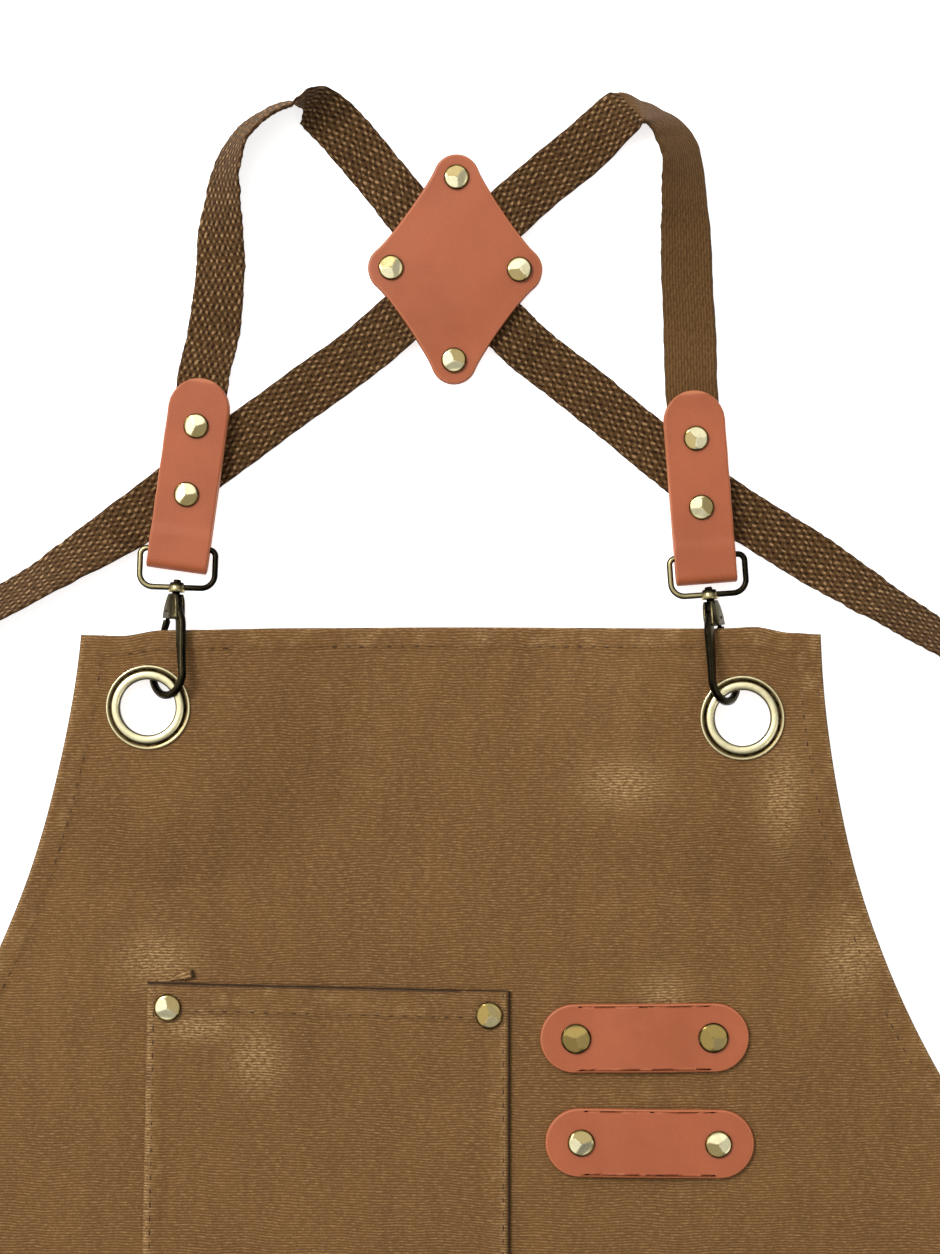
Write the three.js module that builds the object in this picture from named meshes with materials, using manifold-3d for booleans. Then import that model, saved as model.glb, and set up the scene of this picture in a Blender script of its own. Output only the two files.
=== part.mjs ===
// A waxed canvas work apron lying flat on its back, with cross-back shoulder straps.
// Millimetres, +Z up out of the surface that it lies on, +Y from the hem towards the straps.
// While it is built, the middle of the bib's top edge is at x = 0, y = 0 and the surface at z = 0.

import * as THREE from 'three';
import { mergeVertices } from 'three/addons/utils/BufferGeometryUtils.js';
import Module from 'manifold-3d';

const wasm = await Module();
wasm.setup();

// Clearances
const GAP = 0.3;
const HOLE_CLEARANCE = 0.4;
const SWIVEL_PLAY = 0.65;

// Canvas
const CLOTH = 1.0;
const HEM_EXTRA = 0.5;
const TOP_HEM = 7.5;
const SIDE_HEM = 9;
const BOTTOM_HEM = 16;
const BIB_WIDTH = 284;
const APRON_LENGTH = 850;
const ARMHOLE_DEPTH = 295;
const ARMHOLE_REACH = 170;
const ARMHOLE_FLARE = 0.055;
const LEAN = 0.035;

// Shoulder straps of woven webbing
const STRAP_WIDTH = 20.4;
const STRAP_THICKNESS = 1.9;
const YOKE_RISE = 206;
const TAIL_BOW = 74;
const TAIL_UNDER = 32;

// Leather
const LEATHER = 2.0;
const TAB_WIDTH = 23.5;
const TAB_LENGTH = 74.5;
const TAB_FOLD_REACH = 18;
const TAB_BULGE = 0.7;
const TAB_RIVET_FIRST = 18.5;
const TAB_RIVET_PITCH = 26.5;
const PATCH_HEIGHT = 88;
const PATCH_WIDTH = 67;
const PATCH_LOBE = 8.9;
const PATCH_DROP = 0.7;
const LOOP_LENGTH = 80.5;
const LOOP_WIDTH = 26.5;
const LOOP_RIVET_PITCH = 52.8;
const LOOP_RISE = 0.8;

// Pocket
const POCKET_WIDTH = 139.5;
const POCKET_HEIGHT = 162;
const POCKET_HEM = 11.5;
const POCKET_MOUTH = 1.4;
const POCKET_RIVET_IN = 8;
const POCKET_RIVET_DOWN = 9.5;

// Rivets
const RIVET_RADIUS = 4.8;
const BIG_RIVET_RADIUS = 5.8;
const POCKET_RIVET_RADIUS = 5.2;
const RIVET_DOME = 1.9;
const POST_RADIUS = 1.5;
const BURR_RADIUS = 4.0;
const BURR_THICKNESS = 0.8;

// Eyelets
const EYELET_HOLE = 21.3;
const EYELET_ROLL = 3.6;
const EYELET_RISE = 1.5;
const EYELET_RIM = 32.4;
const EYELET_METAL = 0.8;
const EYELET_BACK = 0.7;
const EYELET_WASHER = 0.5;

// Strap-eye rings
const RING_INSIDE = 26.6;
const RING_HEIGHT = 14.9;
const RING_WIRE = 2.3;
const RING_CORNER = 5.2;
const RING_TOP_CORNER = 2.6;
const COLLAR_RADIUS = 3.3;
const COLLAR_LENGTH = 3.8;

// Snap hooks
const HOOK_WIRE = 3.0;
const HOOK_LOOP_RADIUS = 8.6;
const HOOK_LOOP_AT = 33;
const HOOK_BODY_LENGTH = 9.6;
const HOOK_BODY_HALF = 4.6;
const HOOK_BODY_WIDE = 4.8;
const HOOK_POST_RADIUS = 1.5;
const PIVOT_AT = 9.3;
const PIVOT_SIDE = 2.2;
const PIVOT_PIN = 0.6;
const LEVER_ROOT = 1.4;
const LEVER_ROOT_RADIUS = 1.7;
const LEVER_NECK = 1.8;
const LEVER_LENGTH = 21.6;
const LEVER_ACROSS = 6.2;
const HOOK_RISE = 6.8;

// Places. Left is the side of the pocket. lean turns a piece on the surface, in degrees
// eyeletIn, eyeletDown and clothLift are shares of the sizes of those names, boss of the reach of
// a hook from its eyelet, and tab of the ring's height
const EYELET_IN = 28;
const EYELET_DOWN = 31.7;
const CLOTH_LIFT = 6.4;
const HOOK_REACH = 46.6;
const SIDES = [
  {
    name: 'left', hand: -1, eyeletIn: 0.921, eyeletDown: 0.934, clothLift: 1,
    bossX: 0.234, bossY: 0.987, hookLean: -5.7, hookRoll: 45, hookPitch: 3.1,
    ringLean: -2, tabX: -0.013, tabY: 0.430, tabLean: -8,
  },
  {
    name: 'right', hand: 1, eyeletIn: 1.079, eyeletDown: 1.063, clothLift: 1.039,
    bossX: -0.270, bossY: 1.015, hookLean: 9.6, hookRoll: 54, hookPitch: 3.6,
    ringLean: 4, tabX: -0.060, tabY: 0.275, tabLean: 4.5,
  },
];
const PATCH_ASIDE = 1.6;
const PATCH_AT = { x: PATCH_ASIDE, y: 0.673 * YOKE_RISE, lean: -0.8 };
const POCKET_LEFT = 116.8;
const POCKET_DROP = 135.4;
const POCKET_AT = { x: -POCKET_LEFT, y: -POCKET_DROP, lean: -1.4 };
const POCKET_LEFT_LEAN = 1.2;
const LOOP_ASIDE = 11.5;
const LOOP_DROP = 21.5;
const LOOP_PITCH = 40.5;
const loopX = POCKET_AT.x + POCKET_WIDTH + LOOP_ASIDE + LOOP_LENGTH / 2;
const LOOPS = [
  {
    name: 'tool_loop_upper', x: loopX, y: POCKET_AT.y - LOOP_DROP, lean: 0.4,
    rivet: BIG_RIVET_RADIUS,
  },
  {
    name: 'tool_loop_lower', x: loopX + 0.05 * LOOP_PITCH, y: POCKET_AT.y - LOOP_DROP - LOOP_PITCH,
    lean: -0.6, rivet: POCKET_RIVET_RADIUS,
  },
];

const halfBib = BIB_WIDTH / 2;
const waistHalf = halfBib + ARMHOLE_FLARE * ARMHOLE_DEPTH + ARMHOLE_REACH;
const degrees = THREE.MathUtils.degToRad;
const v3 = (x, y, z) => new THREE.Vector3(x, y, z);

// Solids

function toSolid(geometry) {
  const bare = geometry.clone();
  bare.deleteAttribute('normal');
  bare.deleteAttribute('uv');
  const welded = mergeVertices(bare, 1e-4);
  return new wasm.Manifold(new wasm.Mesh({
    numProp: 3,
    vertProperties: new Float32Array(welded.attributes.position.array),
    triVerts: new Uint32Array(welded.index.array),
  }));
}

function toGeometry(solid) {
  const mesh = solid.getMesh();
  const geometry = new THREE.BufferGeometry();
  geometry.setAttribute('position', new THREE.BufferAttribute(mesh.vertProperties, 3));
  geometry.setIndex(new THREE.BufferAttribute(mesh.triVerts, 1));
  return geometry;
}

function outward(points, faces) {
  let volume = 0;
  for (const [a, b, c] of faces) {
    volume += points[a].dot(points[b].clone().cross(points[c]));
  }
  const turned = volume < 0 ? faces.map(([a, b, c]) => [a, c, b]) : faces;
  const geometry = new THREE.BufferGeometry().setFromPoints(points);
  geometry.setIndex(turned.flat());
  return geometry;
}

// A closed body skinned over sections that have the same number of points
function loft(sections) {
  const count = sections[0].length;
  const faces = [];
  for (let s = 0; s + 1 < sections.length; s += 1) {
    for (let i = 0; i < count; i += 1) {
      const next = (i + 1) % count;
      const [a, b] = [s * count + i, s * count + next];
      faces.push([a, b, b + count], [a, b + count, a + count]);
    }
  }
  const last = (sections.length - 1) * count;
  for (let i = 1; i + 1 < count; i += 1) {
    faces.push([0, i + 1, i], [last, last + i, last + i + 1]);
  }
  return outward(sections.flat(), faces);
}

// A closed sheet between two grids of points
function sheet(under, over) {
  const rows = under.length;
  const columns = under[0].length;
  const points = [...under.flat(), ...over.flat()];
  const upper = rows * columns;
  const at = (r, c) => r * columns + c;
  const faces = [];
  for (let r = 0; r + 1 < rows; r += 1) {
    for (let c = 0; c + 1 < columns; c += 1) {
      const [a, b, d, e] = [at(r, c), at(r, c + 1), at(r + 1, c), at(r + 1, c + 1)];
      faces.push([a, b, e], [a, e, d]);
      faces.push([upper + a, upper + e, upper + b], [upper + a, upper + d, upper + e]);
    }
  }
  const rim = [];
  for (let c = 0; c + 1 < columns; c += 1) rim.push(at(0, c));
  for (let r = 0; r + 1 < rows; r += 1) rim.push(at(r, columns - 1));
  for (let c = columns - 1; c > 0; c -= 1) rim.push(at(rows - 1, c));
  for (let r = rows - 1; r > 0; r -= 1) rim.push(at(r, 0));
  rim.forEach((a, i) => {
    const b = rim[(i + 1) % rim.length];
    faces.push([a, upper + a, upper + b], [a, upper + b, b]);
  });
  return outward(points, faces);
}

function plate(shape, low, high, curveSegments = 8) {
  const options = { depth: high - low, bevelEnabled: false, curveSegments };
  return new THREE.ExtrudeGeometry(shape, options).translate(0, 0, low);
}

function cylinder(radius, low, high, sides = 12) {
  const geometry = new THREE.CylinderGeometry(radius, radius, high - low, sides);
  return geometry.rotateX(Math.PI / 2).translate(0, 0, (low + high) / 2);
}

// A turned body: profile rows are [radius, height], about the Z axis
function turned(profile, sides) {
  const points = profile.map(([radius, height]) => new THREE.Vector2(radius, height));
  return new THREE.LatheGeometry(points, sides).rotateX(Math.PI / 2);
}

function piece(name, geometry, material) {
  const mesh = new THREE.Mesh(geometry, material.clone());
  mesh.name = name;
  return mesh;
}

function placed(x, y, lean, ...children) {
  const group = new THREE.Group();
  group.position.set(x, y, 0);
  group.rotation.z = degrees(lean);
  group.add(...children);
  return group;
}

function material(color, roughness, metalness) {
  return new THREE.MeshStandardMaterial({ color, roughness, metalness });
}

const canvas = material(0x785834, 0.85, 0);
const webbing = material(0x5e4428, 0.9, 0);
const leather = material(0xb9674a, 0.6, 0);
const brass = material(0xd0bd8a, 0.3, 1);
const antique = material(0x8d7c55, 0.35, 1);
const bronze = material(0x5d5440, 0.4, 1);

// How high the canvas lies

const smooth = (t) => {
  const c = THREE.MathUtils.clamp(t, 0, 1);
  return c * c * (3 - 2 * c);
};

const eyeletX = (side) => side.hand * (halfBib - side.eyeletIn * EYELET_IN);
const eyeletY = (side) => -side.eyeletDown * EYELET_DOWN;
const clothLift = (side) => side.clothLift * CLOTH_LIFT;
const centreAt = (y) => LEAN * y;

function waistCorner(hand) {
  return { x: hand * waistHalf + centreAt(-ARMHOLE_DEPTH), y: -ARMHOLE_DEPTH };
}

const burrLift = BURR_THICKNESS + GAP + 0.4;
const rivetFlat = 5 * POCKET_RIVET_RADIUS;
const rivetReach = 13.5 * POCKET_RIVET_RADIUS;
const endLift = STRAP_THICKNESS + 2 * GAP;

const PROPS = [
  ...SIDES.map((side) => (
    {
      x: eyeletX(side), y: eyeletY(side), height: clothLift(side),
      flat: 1.1 * EYELET_RIM, reach: 2.6 * EYELET_RIM,
    })),
  ...SIDES.map(({ hand }) => {
    const corner = waistCorner(hand);
    return {
      x: corner.x - hand * 0.6 * STRAP_WIDTH, y: corner.y - 0.6 * STRAP_WIDTH, height: endLift,
      flat: 2 * STRAP_WIDTH, reach: 4.4 * STRAP_WIDTH,
    };
  }),
  {
    x: LOOPS[0].x, y: (LOOPS[0].y + LOOPS[1].y) / 2, height: burrLift,
    flat: 0.65 * LOOP_LENGTH, reach: 1.37 * LOOP_LENGTH,
  },
  { x: POCKET_AT.x + POCKET_RIVET_IN, y: POCKET_AT.y, height: burrLift, flat: rivetFlat, reach: rivetReach },
  {
    x: POCKET_AT.x + POCKET_WIDTH - POCKET_RIVET_IN, y: POCKET_AT.y,
    height: burrLift, flat: rivetFlat, reach: rivetReach,
  },
];

// Soft folds of the skirt: middle and length as shares of the apron, the rest in shares of its width
const FOLDS = [
  { across: -0.30, down: 0.66, turn: 84, long: 0.42, wide: 0.050, height: 0.0105 },
  { across: -0.07, down: 0.78, turn: 96, long: 0.30, wide: 0.043, height: 0.0080 },
  { across: 0.16, down: 0.62, turn: 88, long: 0.36, wide: 0.052, height: 0.0100 },
  { across: 0.36, down: 0.80, turn: 80, long: 0.28, wide: 0.046, height: 0.0090 },
];

function clothHeight(x, y) {
  let height = 0;
  for (const prop of PROPS) {
    const away = Math.hypot(x - prop.x, y - prop.y);
    const share = smooth(1 - (away - prop.flat) / (prop.reach - prop.flat));
    height = Math.max(height, prop.height * share);
  }
  for (const fold of FOLDS) {
    const turn = degrees(fold.turn);
    const dx = x - fold.across * 2 * waistHalf;
    const dy = y + fold.down * APRON_LENGTH;
    const along = (dx * Math.cos(turn) + dy * Math.sin(turn)) / (fold.long * APRON_LENGTH);
    const aside = (dy * Math.cos(turn) - dx * Math.sin(turn)) / (fold.wide * 2 * waistHalf);
    const share = smooth(1 - Math.abs(along)) * smooth(1 - Math.abs(aside));
    height = Math.max(height, fold.height * 2 * waistHalf * share);
  }
  return height;
}

// Apron panel

// How far round its ellipse the armhole goes, as the sine of the angle
const ARMHOLE_TURN = 0.922;

// Half the width at a distance below the bib's top edge: a flare, then the curved armhole
function halfWidth(down) {
  const d = Math.min(down, ARMHOLE_DEPTH);
  const share = d / ARMHOLE_DEPTH * ARMHOLE_TURN;
  const full = 1 - Math.sqrt(1 - ARMHOLE_TURN * ARMHOLE_TURN);
  return halfBib + ARMHOLE_FLARE * d + ARMHOLE_REACH * (1 - Math.sqrt(1 - share * share)) / full;
}

// The top edge wanders a little between its corners: shares of half the width and of the hem
const TOP_EDGE = [
  { across: -1, rise: -0.24 },
  { across: -0.89, rise: -0.29 },
  { across: -0.78, rise: 0.0 },
  { across: -0.4, rise: 0.11 },
  { across: 0, rise: 0.15 },
  { across: 0.73, rise: 0.09 },
  { across: 0.82, rise: 0.17 },
  { across: 0.92, rise: -0.13 },
  { across: 1, rise: -0.21 },
];

function lookUp(table, key, value, at) {
  const above = table.findIndex((row) => row[key] >= at);
  if (above < 0) return table[table.length - 1][value];
  if (above === 0) return table[0][value];
  const [low, high] = [table[above - 1], table[above]];
  const share = (at - low[key]) / (high[key] - low[key]);
  return low[value] + share * (high[value] - low[value]);
}

function eyeletSeat(side) {
  return { x: eyeletX(side), y: eyeletY(side), z: clothLift(side) };
}

function rivetSeats() {
  const seats = [];
  for (const strip of LOOPS) {
    for (const end of [-1, 1]) {
      const turn = degrees(strip.lean);
      const out = end * LOOP_RIVET_PITCH / 2;
      seats.push({ x: strip.x + out * Math.cos(turn), y: strip.y + out * Math.sin(turn) });
    }
  }
  for (const along of [POCKET_RIVET_IN, POCKET_WIDTH - POCKET_RIVET_IN]) {
    seats.push(pocketPoint(along, POCKET_RIVET_DOWN));
  }
  return seats;
}

// Rows of the panel: shares of the bib from its top hem to the waist, then of the skirt
const BIB_ROWS = [
  0.055, 0.11, 0.165, 0.22, 0.28, 0.35, 0.42, 0.49, 0.56, 0.63, 0.70, 0.77, 0.84, 0.90, 0.95, 1,
];
const SKIRT_ROWS = [0.05, 0.15, 0.27, 0.40, 0.53, 0.66, 0.79, 0.91];
const PANEL_CELLS = 17;

function apronPanel() {
  const skirt = APRON_LENGTH - BOTTOM_HEM - ARMHOLE_DEPTH;
  const downs = [
    0, TOP_HEM, TOP_HEM + 1.5,
    ...BIB_ROWS.map((share) => TOP_HEM + share * (ARMHOLE_DEPTH - TOP_HEM)),
    ...SKIRT_ROWS.map((share) => ARMHOLE_DEPTH + share * skirt),
    APRON_LENGTH - BOTTOM_HEM - 2, APRON_LENGTH - BOTTOM_HEM, APRON_LENGTH,
  ];
  const hemEdge = downs.length - 2;
  const under = [];
  const over = [];
  downs.forEach((down, row) => {
    const half = halfWidth(down);
    const inner = half - SIDE_HEM - 1.5;
    const across = [-half, SIDE_HEM - half];
    for (let c = 0; c <= PANEL_CELLS; c += 1) across.push(inner * (2 * c / PANEL_CELLS - 1));
    across.push(half - SIDE_HEM, half);
    const fade = smooth(1 - down / (6 * TOP_HEM));
    const low = [];
    const high = [];
    across.forEach((out, column) => {
      const x = out + centreAt(-down);
      const y = fade * TOP_HEM * lookUp(TOP_EDGE, 'across', 'rise', out / half) - down;
      const z = clothHeight(x, y);
      const sideHem = column < 2 || column > across.length - 3;
      const hem = sideHem || row < 2 || row >= hemEdge ? HEM_EXTRA : 0;
      low.push(v3(x, y, z));
      high.push(v3(x, y, z + CLOTH + hem));
    });
    under.push(low);
    over.push(high);
  });
  let solid = toSolid(sheet(under, over));
  for (const side of SIDES) {
    const seat = eyeletSeat(side);
    const bore = cylinder(EYELET_HOLE / 2 + EYELET_METAL + HOLE_CLEARANCE, -5, 20, 20);
    solid = solid.subtract(toSolid(bore.translate(seat.x, seat.y, 0)));
  }
  for (const seat of rivetSeats()) {
    const bore = cylinder(POST_RADIUS + HOLE_CLEARANCE, -5, 20, 8);
    solid = solid.subtract(toSolid(bore.translate(seat.x, seat.y, 0)));
  }
  return piece('apron_panel', toGeometry(solid), canvas);
}

// Chest pocket

function pocketPoint(along, down) {
  const turn = degrees(POCKET_AT.lean);
  const shift = down * Math.tan(degrees(POCKET_LEFT_LEAN)) * (1 - along / POCKET_WIDTH);
  return {
    x: POCKET_AT.x + along * Math.cos(turn) - shift,
    y: POCKET_AT.y + along * Math.sin(turn) - down,
  };
}

const POCKET_COLUMNS = [0, 0.1, 0.23, 0.36, 0.5, 0.64, 0.77, 0.9, 1];
const POCKET_ROWS = [0.15, 0.27, 0.4, 0.55, 0.7, 0.85, 1];
const POCKET_LIFT = CLOTH + GAP + 0.15;

function chestPocket() {
  const downs = [
    0, POCKET_HEM, POCKET_HEM + 1.5, ...POCKET_ROWS.map((share) => share * POCKET_HEIGHT),
  ];
  const under = [];
  const over = [];
  downs.forEach((down, row) => {
    const low = [];
    const high = [];
    for (const share of POCKET_COLUMNS) {
      const { x, y } = pocketPoint(share * POCKET_WIDTH, down);
      const mouth = POCKET_MOUTH * Math.sin(Math.PI * share) ** 2 * smooth(1 - 2 * down / POCKET_HEIGHT);
      const z = clothHeight(x, y) + POCKET_LIFT + mouth;
      low.push(v3(x, y, z));
      high.push(v3(x, y, z + CLOTH + (row < 2 ? HEM_EXTRA : 0)));
    }
    under.push(low);
    over.push(high);
  });
  let solid = toSolid(sheet(under, over));
  for (const along of [POCKET_RIVET_IN, POCKET_WIDTH - POCKET_RIVET_IN]) {
    const seat = pocketPoint(along, POCKET_RIVET_DOWN);
    const bore = cylinder(POST_RADIUS + HOLE_CLEARANCE, -5, 20, 8);
    solid = solid.subtract(toSolid(bore.translate(seat.x, seat.y, 0)));
  }
  return piece('chest_pocket', toGeometry(solid), canvas);
}

// Rivets: a back burr, a post and a domed cap in one

function rivet(name, x, y, low, high, radius) {
  const profile = [
    [0, low - BURR_THICKNESS], [BURR_RADIUS, low - BURR_THICKNESS], [BURR_RADIUS, low],
    [POST_RADIUS, low], [POST_RADIUS, high], [radius, high], [radius, high + 0.4 * RIVET_DOME],
    [0.62 * radius, high + 0.85 * RIVET_DOME], [0, high + RIVET_DOME],
  ];
  const mesh = piece(name, turned(profile, 8), brass);
  mesh.position.set(x, y, 0);
  return mesh;
}

function pocketRivets() {
  const [left, right] = [POCKET_RIVET_IN, POCKET_WIDTH - POCKET_RIVET_IN]
    .map((along) => pocketPoint(along, POCKET_RIVET_DOWN));
  return [['pocket_rivet_left', left], ['pocket_rivet_right', right]].map(([name, seat]) => {
    const cloth = clothHeight(seat.x, seat.y);
    const top = cloth + POCKET_LIFT + CLOTH + HEM_EXTRA + 2 * GAP;
    return rivet(name, seat.x, seat.y, cloth - GAP, top, POCKET_RIVET_RADIUS);
  });
}

// Tool loops

function toolLoop({ name, x, y, lean, rivet: radius }) {
  const half = LOOP_LENGTH / 2;
  const cap = LOOP_WIDTH / 2;
  const outline = new THREE.Shape();
  outline.absarc(half - cap, 0, cap, -Math.PI / 2, Math.PI / 2);
  outline.absarc(cap - half, 0, cap, Math.PI / 2, 1.5 * Math.PI);
  const floor = clothHeight(x, y) + CLOTH + GAP;
  const seat = LOOP_RIVET_PITCH / 2 - radius - 1;
  const under = [];
  const over = [];
  for (const out of [-half - 2, -seat, -0.55 * seat, 0, 0.55 * seat, seat, half + 2]) {
    const rise = LOOP_RISE * smooth(1.6 * (1 - Math.abs(out) / seat));
    const ends = [-cap - 1, cap + 1];
    under.push(ends.map((across) => v3(out, across, floor + rise)));
    over.push(ends.map((across) => v3(out, across, floor + rise + LEATHER)));
  }
  let solid = toSolid(sheet(under, over)).intersect(toSolid(plate(outline, -5, 30, 6)));
  for (const end of [-1, 1]) {
    const bore = cylinder(POST_RADIUS + HOLE_CLEARANCE, -5, 30, 8);
    solid = solid.subtract(toSolid(bore.translate(end * LOOP_RIVET_PITCH / 2, 0, 0)));
  }
  const strip = piece(name, toGeometry(solid), leather);
  const top = floor + LEATHER + GAP;
  const low = floor - CLOTH - 2 * GAP;
  const rivets = [['left', -1], ['right', 1]].map(([end, hand]) => (
    rivet(`${name}_rivet_${end}`, hand * LOOP_RIVET_PITCH / 2, 0, low, top, radius)));
  return placed(x, y, lean, strip, ...rivets);
}

// Shoulder straps. Each row is a place on the middle of the webbing: x as a share of half the bib,
// y as a share of the yoke's rise, turn the way across the webbing from its outer to its inner
// edge, tilt how far the inner edge has turned up and over, and up the height of its underside
const STRAP_LEFT = [
  { x: -0.642, y: 0.563, turn: -6, tilt: 2, up: 0.6 },
  { x: -0.625, y: 0.675, turn: 0, tilt: 16, up: 0 },
  { x: -0.624, y: 0.737, turn: -3, tilt: 26, up: 0 },
  { x: -0.615, y: 0.811, turn: -7, tilt: 45, up: 0 },
  { x: -0.605, y: 0.861, turn: -18, tilt: 56, up: 0 },
  { x: -0.564, y: 0.923, turn: -33, tilt: 68, up: 0 },
  { x: -0.492, y: 0.963, turn: -58, tilt: 74, up: 0 },
  { x: -0.438, y: 0.978, turn: -64, tilt: 76, up: 0 },
  { x: -0.407, y: 0.981, turn: -88, tilt: 92, up: 0 },
  { x: -0.388, y: 0.981, turn: -118, tilt: 122, up: 0 },
  { x: -0.368, y: 0.977, turn: -133, tilt: 148, up: 0 },
  { x: -0.340, y: 0.963, turn: -139, tilt: 164, up: 0 },
  { x: -0.298, y: 0.936, turn: -139.5, tilt: 178, up: 0 },
  { x: -0.210, y: 0.865, turn: -139.5, tilt: 180, up: 0 },
  { x: -0.150, y: 0.813, turn: -139.5, tilt: 180, up: 1 },
  { x: 0.011, y: 0.673, turn: -138, tilt: 180, up: 1 },
  { x: 0.175, y: 0.550, turn: -133, tilt: 180, up: 1 },
  { x: 0.250, y: 0.506, turn: -130, tilt: 180, up: 0 },
  { x: 0.358, y: 0.449, turn: -129.5, tilt: 180, up: 0 },
  { x: 0.536, y: 0.349, turn: -129, tilt: 180, up: 0 },
  { x: 0.709, y: 0.253, turn: -127, tilt: 180, up: 0 },
  { x: 0.850, y: 0.190, turn: -125, tilt: 180, up: 0 },
  { x: 0.976, y: 0.136, turn: -125, tilt: 184, up: 0 },
  { x: 1.104, y: 0.079, turn: -125, tilt: 207, up: 0 },
  { x: 1.203, y: 0.036, turn: -126, tilt: 219, up: 0 },
];
const STRAP_RIGHT = [
  { x: -0.647, y: 0.563, turn: 2, tilt: 2, up: 0.5 },
  { x: -0.640, y: 0.650, turn: 0, tilt: 9, up: 0 },
  { x: -0.636, y: 0.737, turn: -2, tilt: 15, up: 0 },
  { x: -0.630, y: 0.811, turn: -6, tilt: 26, up: 0 },
  { x: -0.622, y: 0.875, turn: -13, tilt: 37, up: 0 },
  { x: -0.600, y: 0.920, turn: -19, tilt: 45, up: 0 },
  { x: -0.570, y: 0.948, turn: -25, tilt: 51, up: 0 },
  { x: -0.528, y: 0.966, turn: -40, tilt: 63, up: 0 },
  { x: -0.500, y: 0.976, turn: -72, tilt: 88, up: 0 },
  { x: -0.486, y: 0.975, turn: -108, tilt: 118, up: 0 },
  { x: -0.470, y: 0.968, turn: -124, tilt: 144, up: 0 },
  { x: -0.440, y: 0.950, turn: -127, tilt: 160, up: 0 },
  { x: -0.358, y: 0.900, turn: -131, tilt: 178, up: 0 },
  { x: -0.250, y: 0.840, turn: -130, tilt: 180, up: 0 },
  { x: -0.150, y: 0.776, turn: -129, tilt: 180, up: 2 },
  { x: -0.011, y: 0.680, turn: -131, tilt: 180, up: 2 },
  { x: 0.145, y: 0.577, turn: -129, tilt: 180, up: 2 },
  { x: 0.262, y: 0.511, turn: -127, tilt: 180, up: 0 },
  { x: 0.400, y: 0.443, turn: -126.5, tilt: 180, up: 0 },
  { x: 0.576, y: 0.354, turn: -126.5, tilt: 180, up: 0 },
  { x: 0.740, y: 0.269, turn: -127, tilt: 180, up: 0 },
  { x: 0.866, y: 0.204, turn: -127, tilt: 180, up: 0 },
  { x: 0.940, y: 0.169, turn: -125, tilt: 202, up: 0 },
  { x: 1.043, y: 0.124, turn: -124, tilt: 217, up: 0 },
  { x: 1.140, y: 0.082, turn: -127, tilt: 227, up: 0 },
];
// The tail: share of the way to the waist corner, and share of the bow outwards
const STRAP_TAIL = [
  { along: 0.12, bow: 0.36, turn: -132, tilt: 236 },
  { along: 0.26, bow: 0.70, turn: -139, tilt: 240 },
  { along: 0.42, bow: 0.94, turn: -150, tilt: 240 },
  { along: 0.58, bow: 1.00, turn: -162, tilt: 238 },
  { along: 0.73, bow: 0.88, turn: -174, tilt: 230 },
  { along: 0.84, bow: 0.66, turn: -184, tilt: 208 },
  { along: 0.92, bow: 0.40, turn: -190, tilt: 180 },
];
const STRAP_STEP = 22;
const STRAP_TURN_STEP = 12;

const tabFloor = STRAP_THICKNESS + GAP;
const tabInside = tabFloor + LEATHER + GAP;
const tabTop = tabInside + STRAP_THICKNESS + GAP + LEATHER;
const patchInside = LEATHER + GAP;
// Undersides of the webbing: on the surface, first over the back patch, second over the first
const STRAP_LEVELS = [0, patchInside, patchInside + STRAP_THICKNESS + GAP];

function strapRoute(side, rows) {
  const level = (up) => {
    const low = Math.floor(up);
    const high = Math.min(low + 1, STRAP_LEVELS.length - 1);
    return STRAP_LEVELS[low] + (up - low) * (STRAP_LEVELS[high] - STRAP_LEVELS[low]);
  };
  const mirror = side.hand < 0 ? 1 : -1;
  const route = rows.map((row) => ({
    x: row.x * halfBib, y: row.y * YOKE_RISE, z: level(row.up), turn: row.turn, tilt: row.tilt,
  }));
  const tab = tabFrame(side);
  const held = TAB_LENGTH - TAB_FOLD_REACH;
  for (const along of [-3, 0.1 * held, 0.55 * held, held]) {
    const turn = mirror * tab.lean;
    route.unshift({
      x: mirror * (tab.x - tab.down.x * (TAB_LENGTH - along)),
      y: tab.y - tab.down.y * (TAB_LENGTH - along), z: tabInside, turn, tilt: 0,
    });
  }
  const last = route[route.length - 1];
  const corner = waistCorner(-side.hand);
  const goal = { x: mirror * corner.x - 13, y: corner.y };
  const reach = Math.hypot(goal.x - last.x, goal.y - last.y);
  const out = { x: (last.y - goal.y) / reach, y: (goal.x - last.x) / reach };
  for (const row of STRAP_TAIL) {
    route.push({
      x: last.x + row.along * (goal.x - last.x) + row.bow * TAIL_BOW * out.x,
      y: last.y + row.along * (goal.y - last.y) + row.bow * TAIL_BOW * out.y,
      z: 0, turn: row.turn, tilt: row.tilt,
    });
  }
  for (const below of [0, TAIL_UNDER]) {
    route.push({ x: goal.x - 0.18 * below, y: goal.y - below, z: 0, turn: -193, tilt: 180 });
  }
  return route;
}

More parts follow.
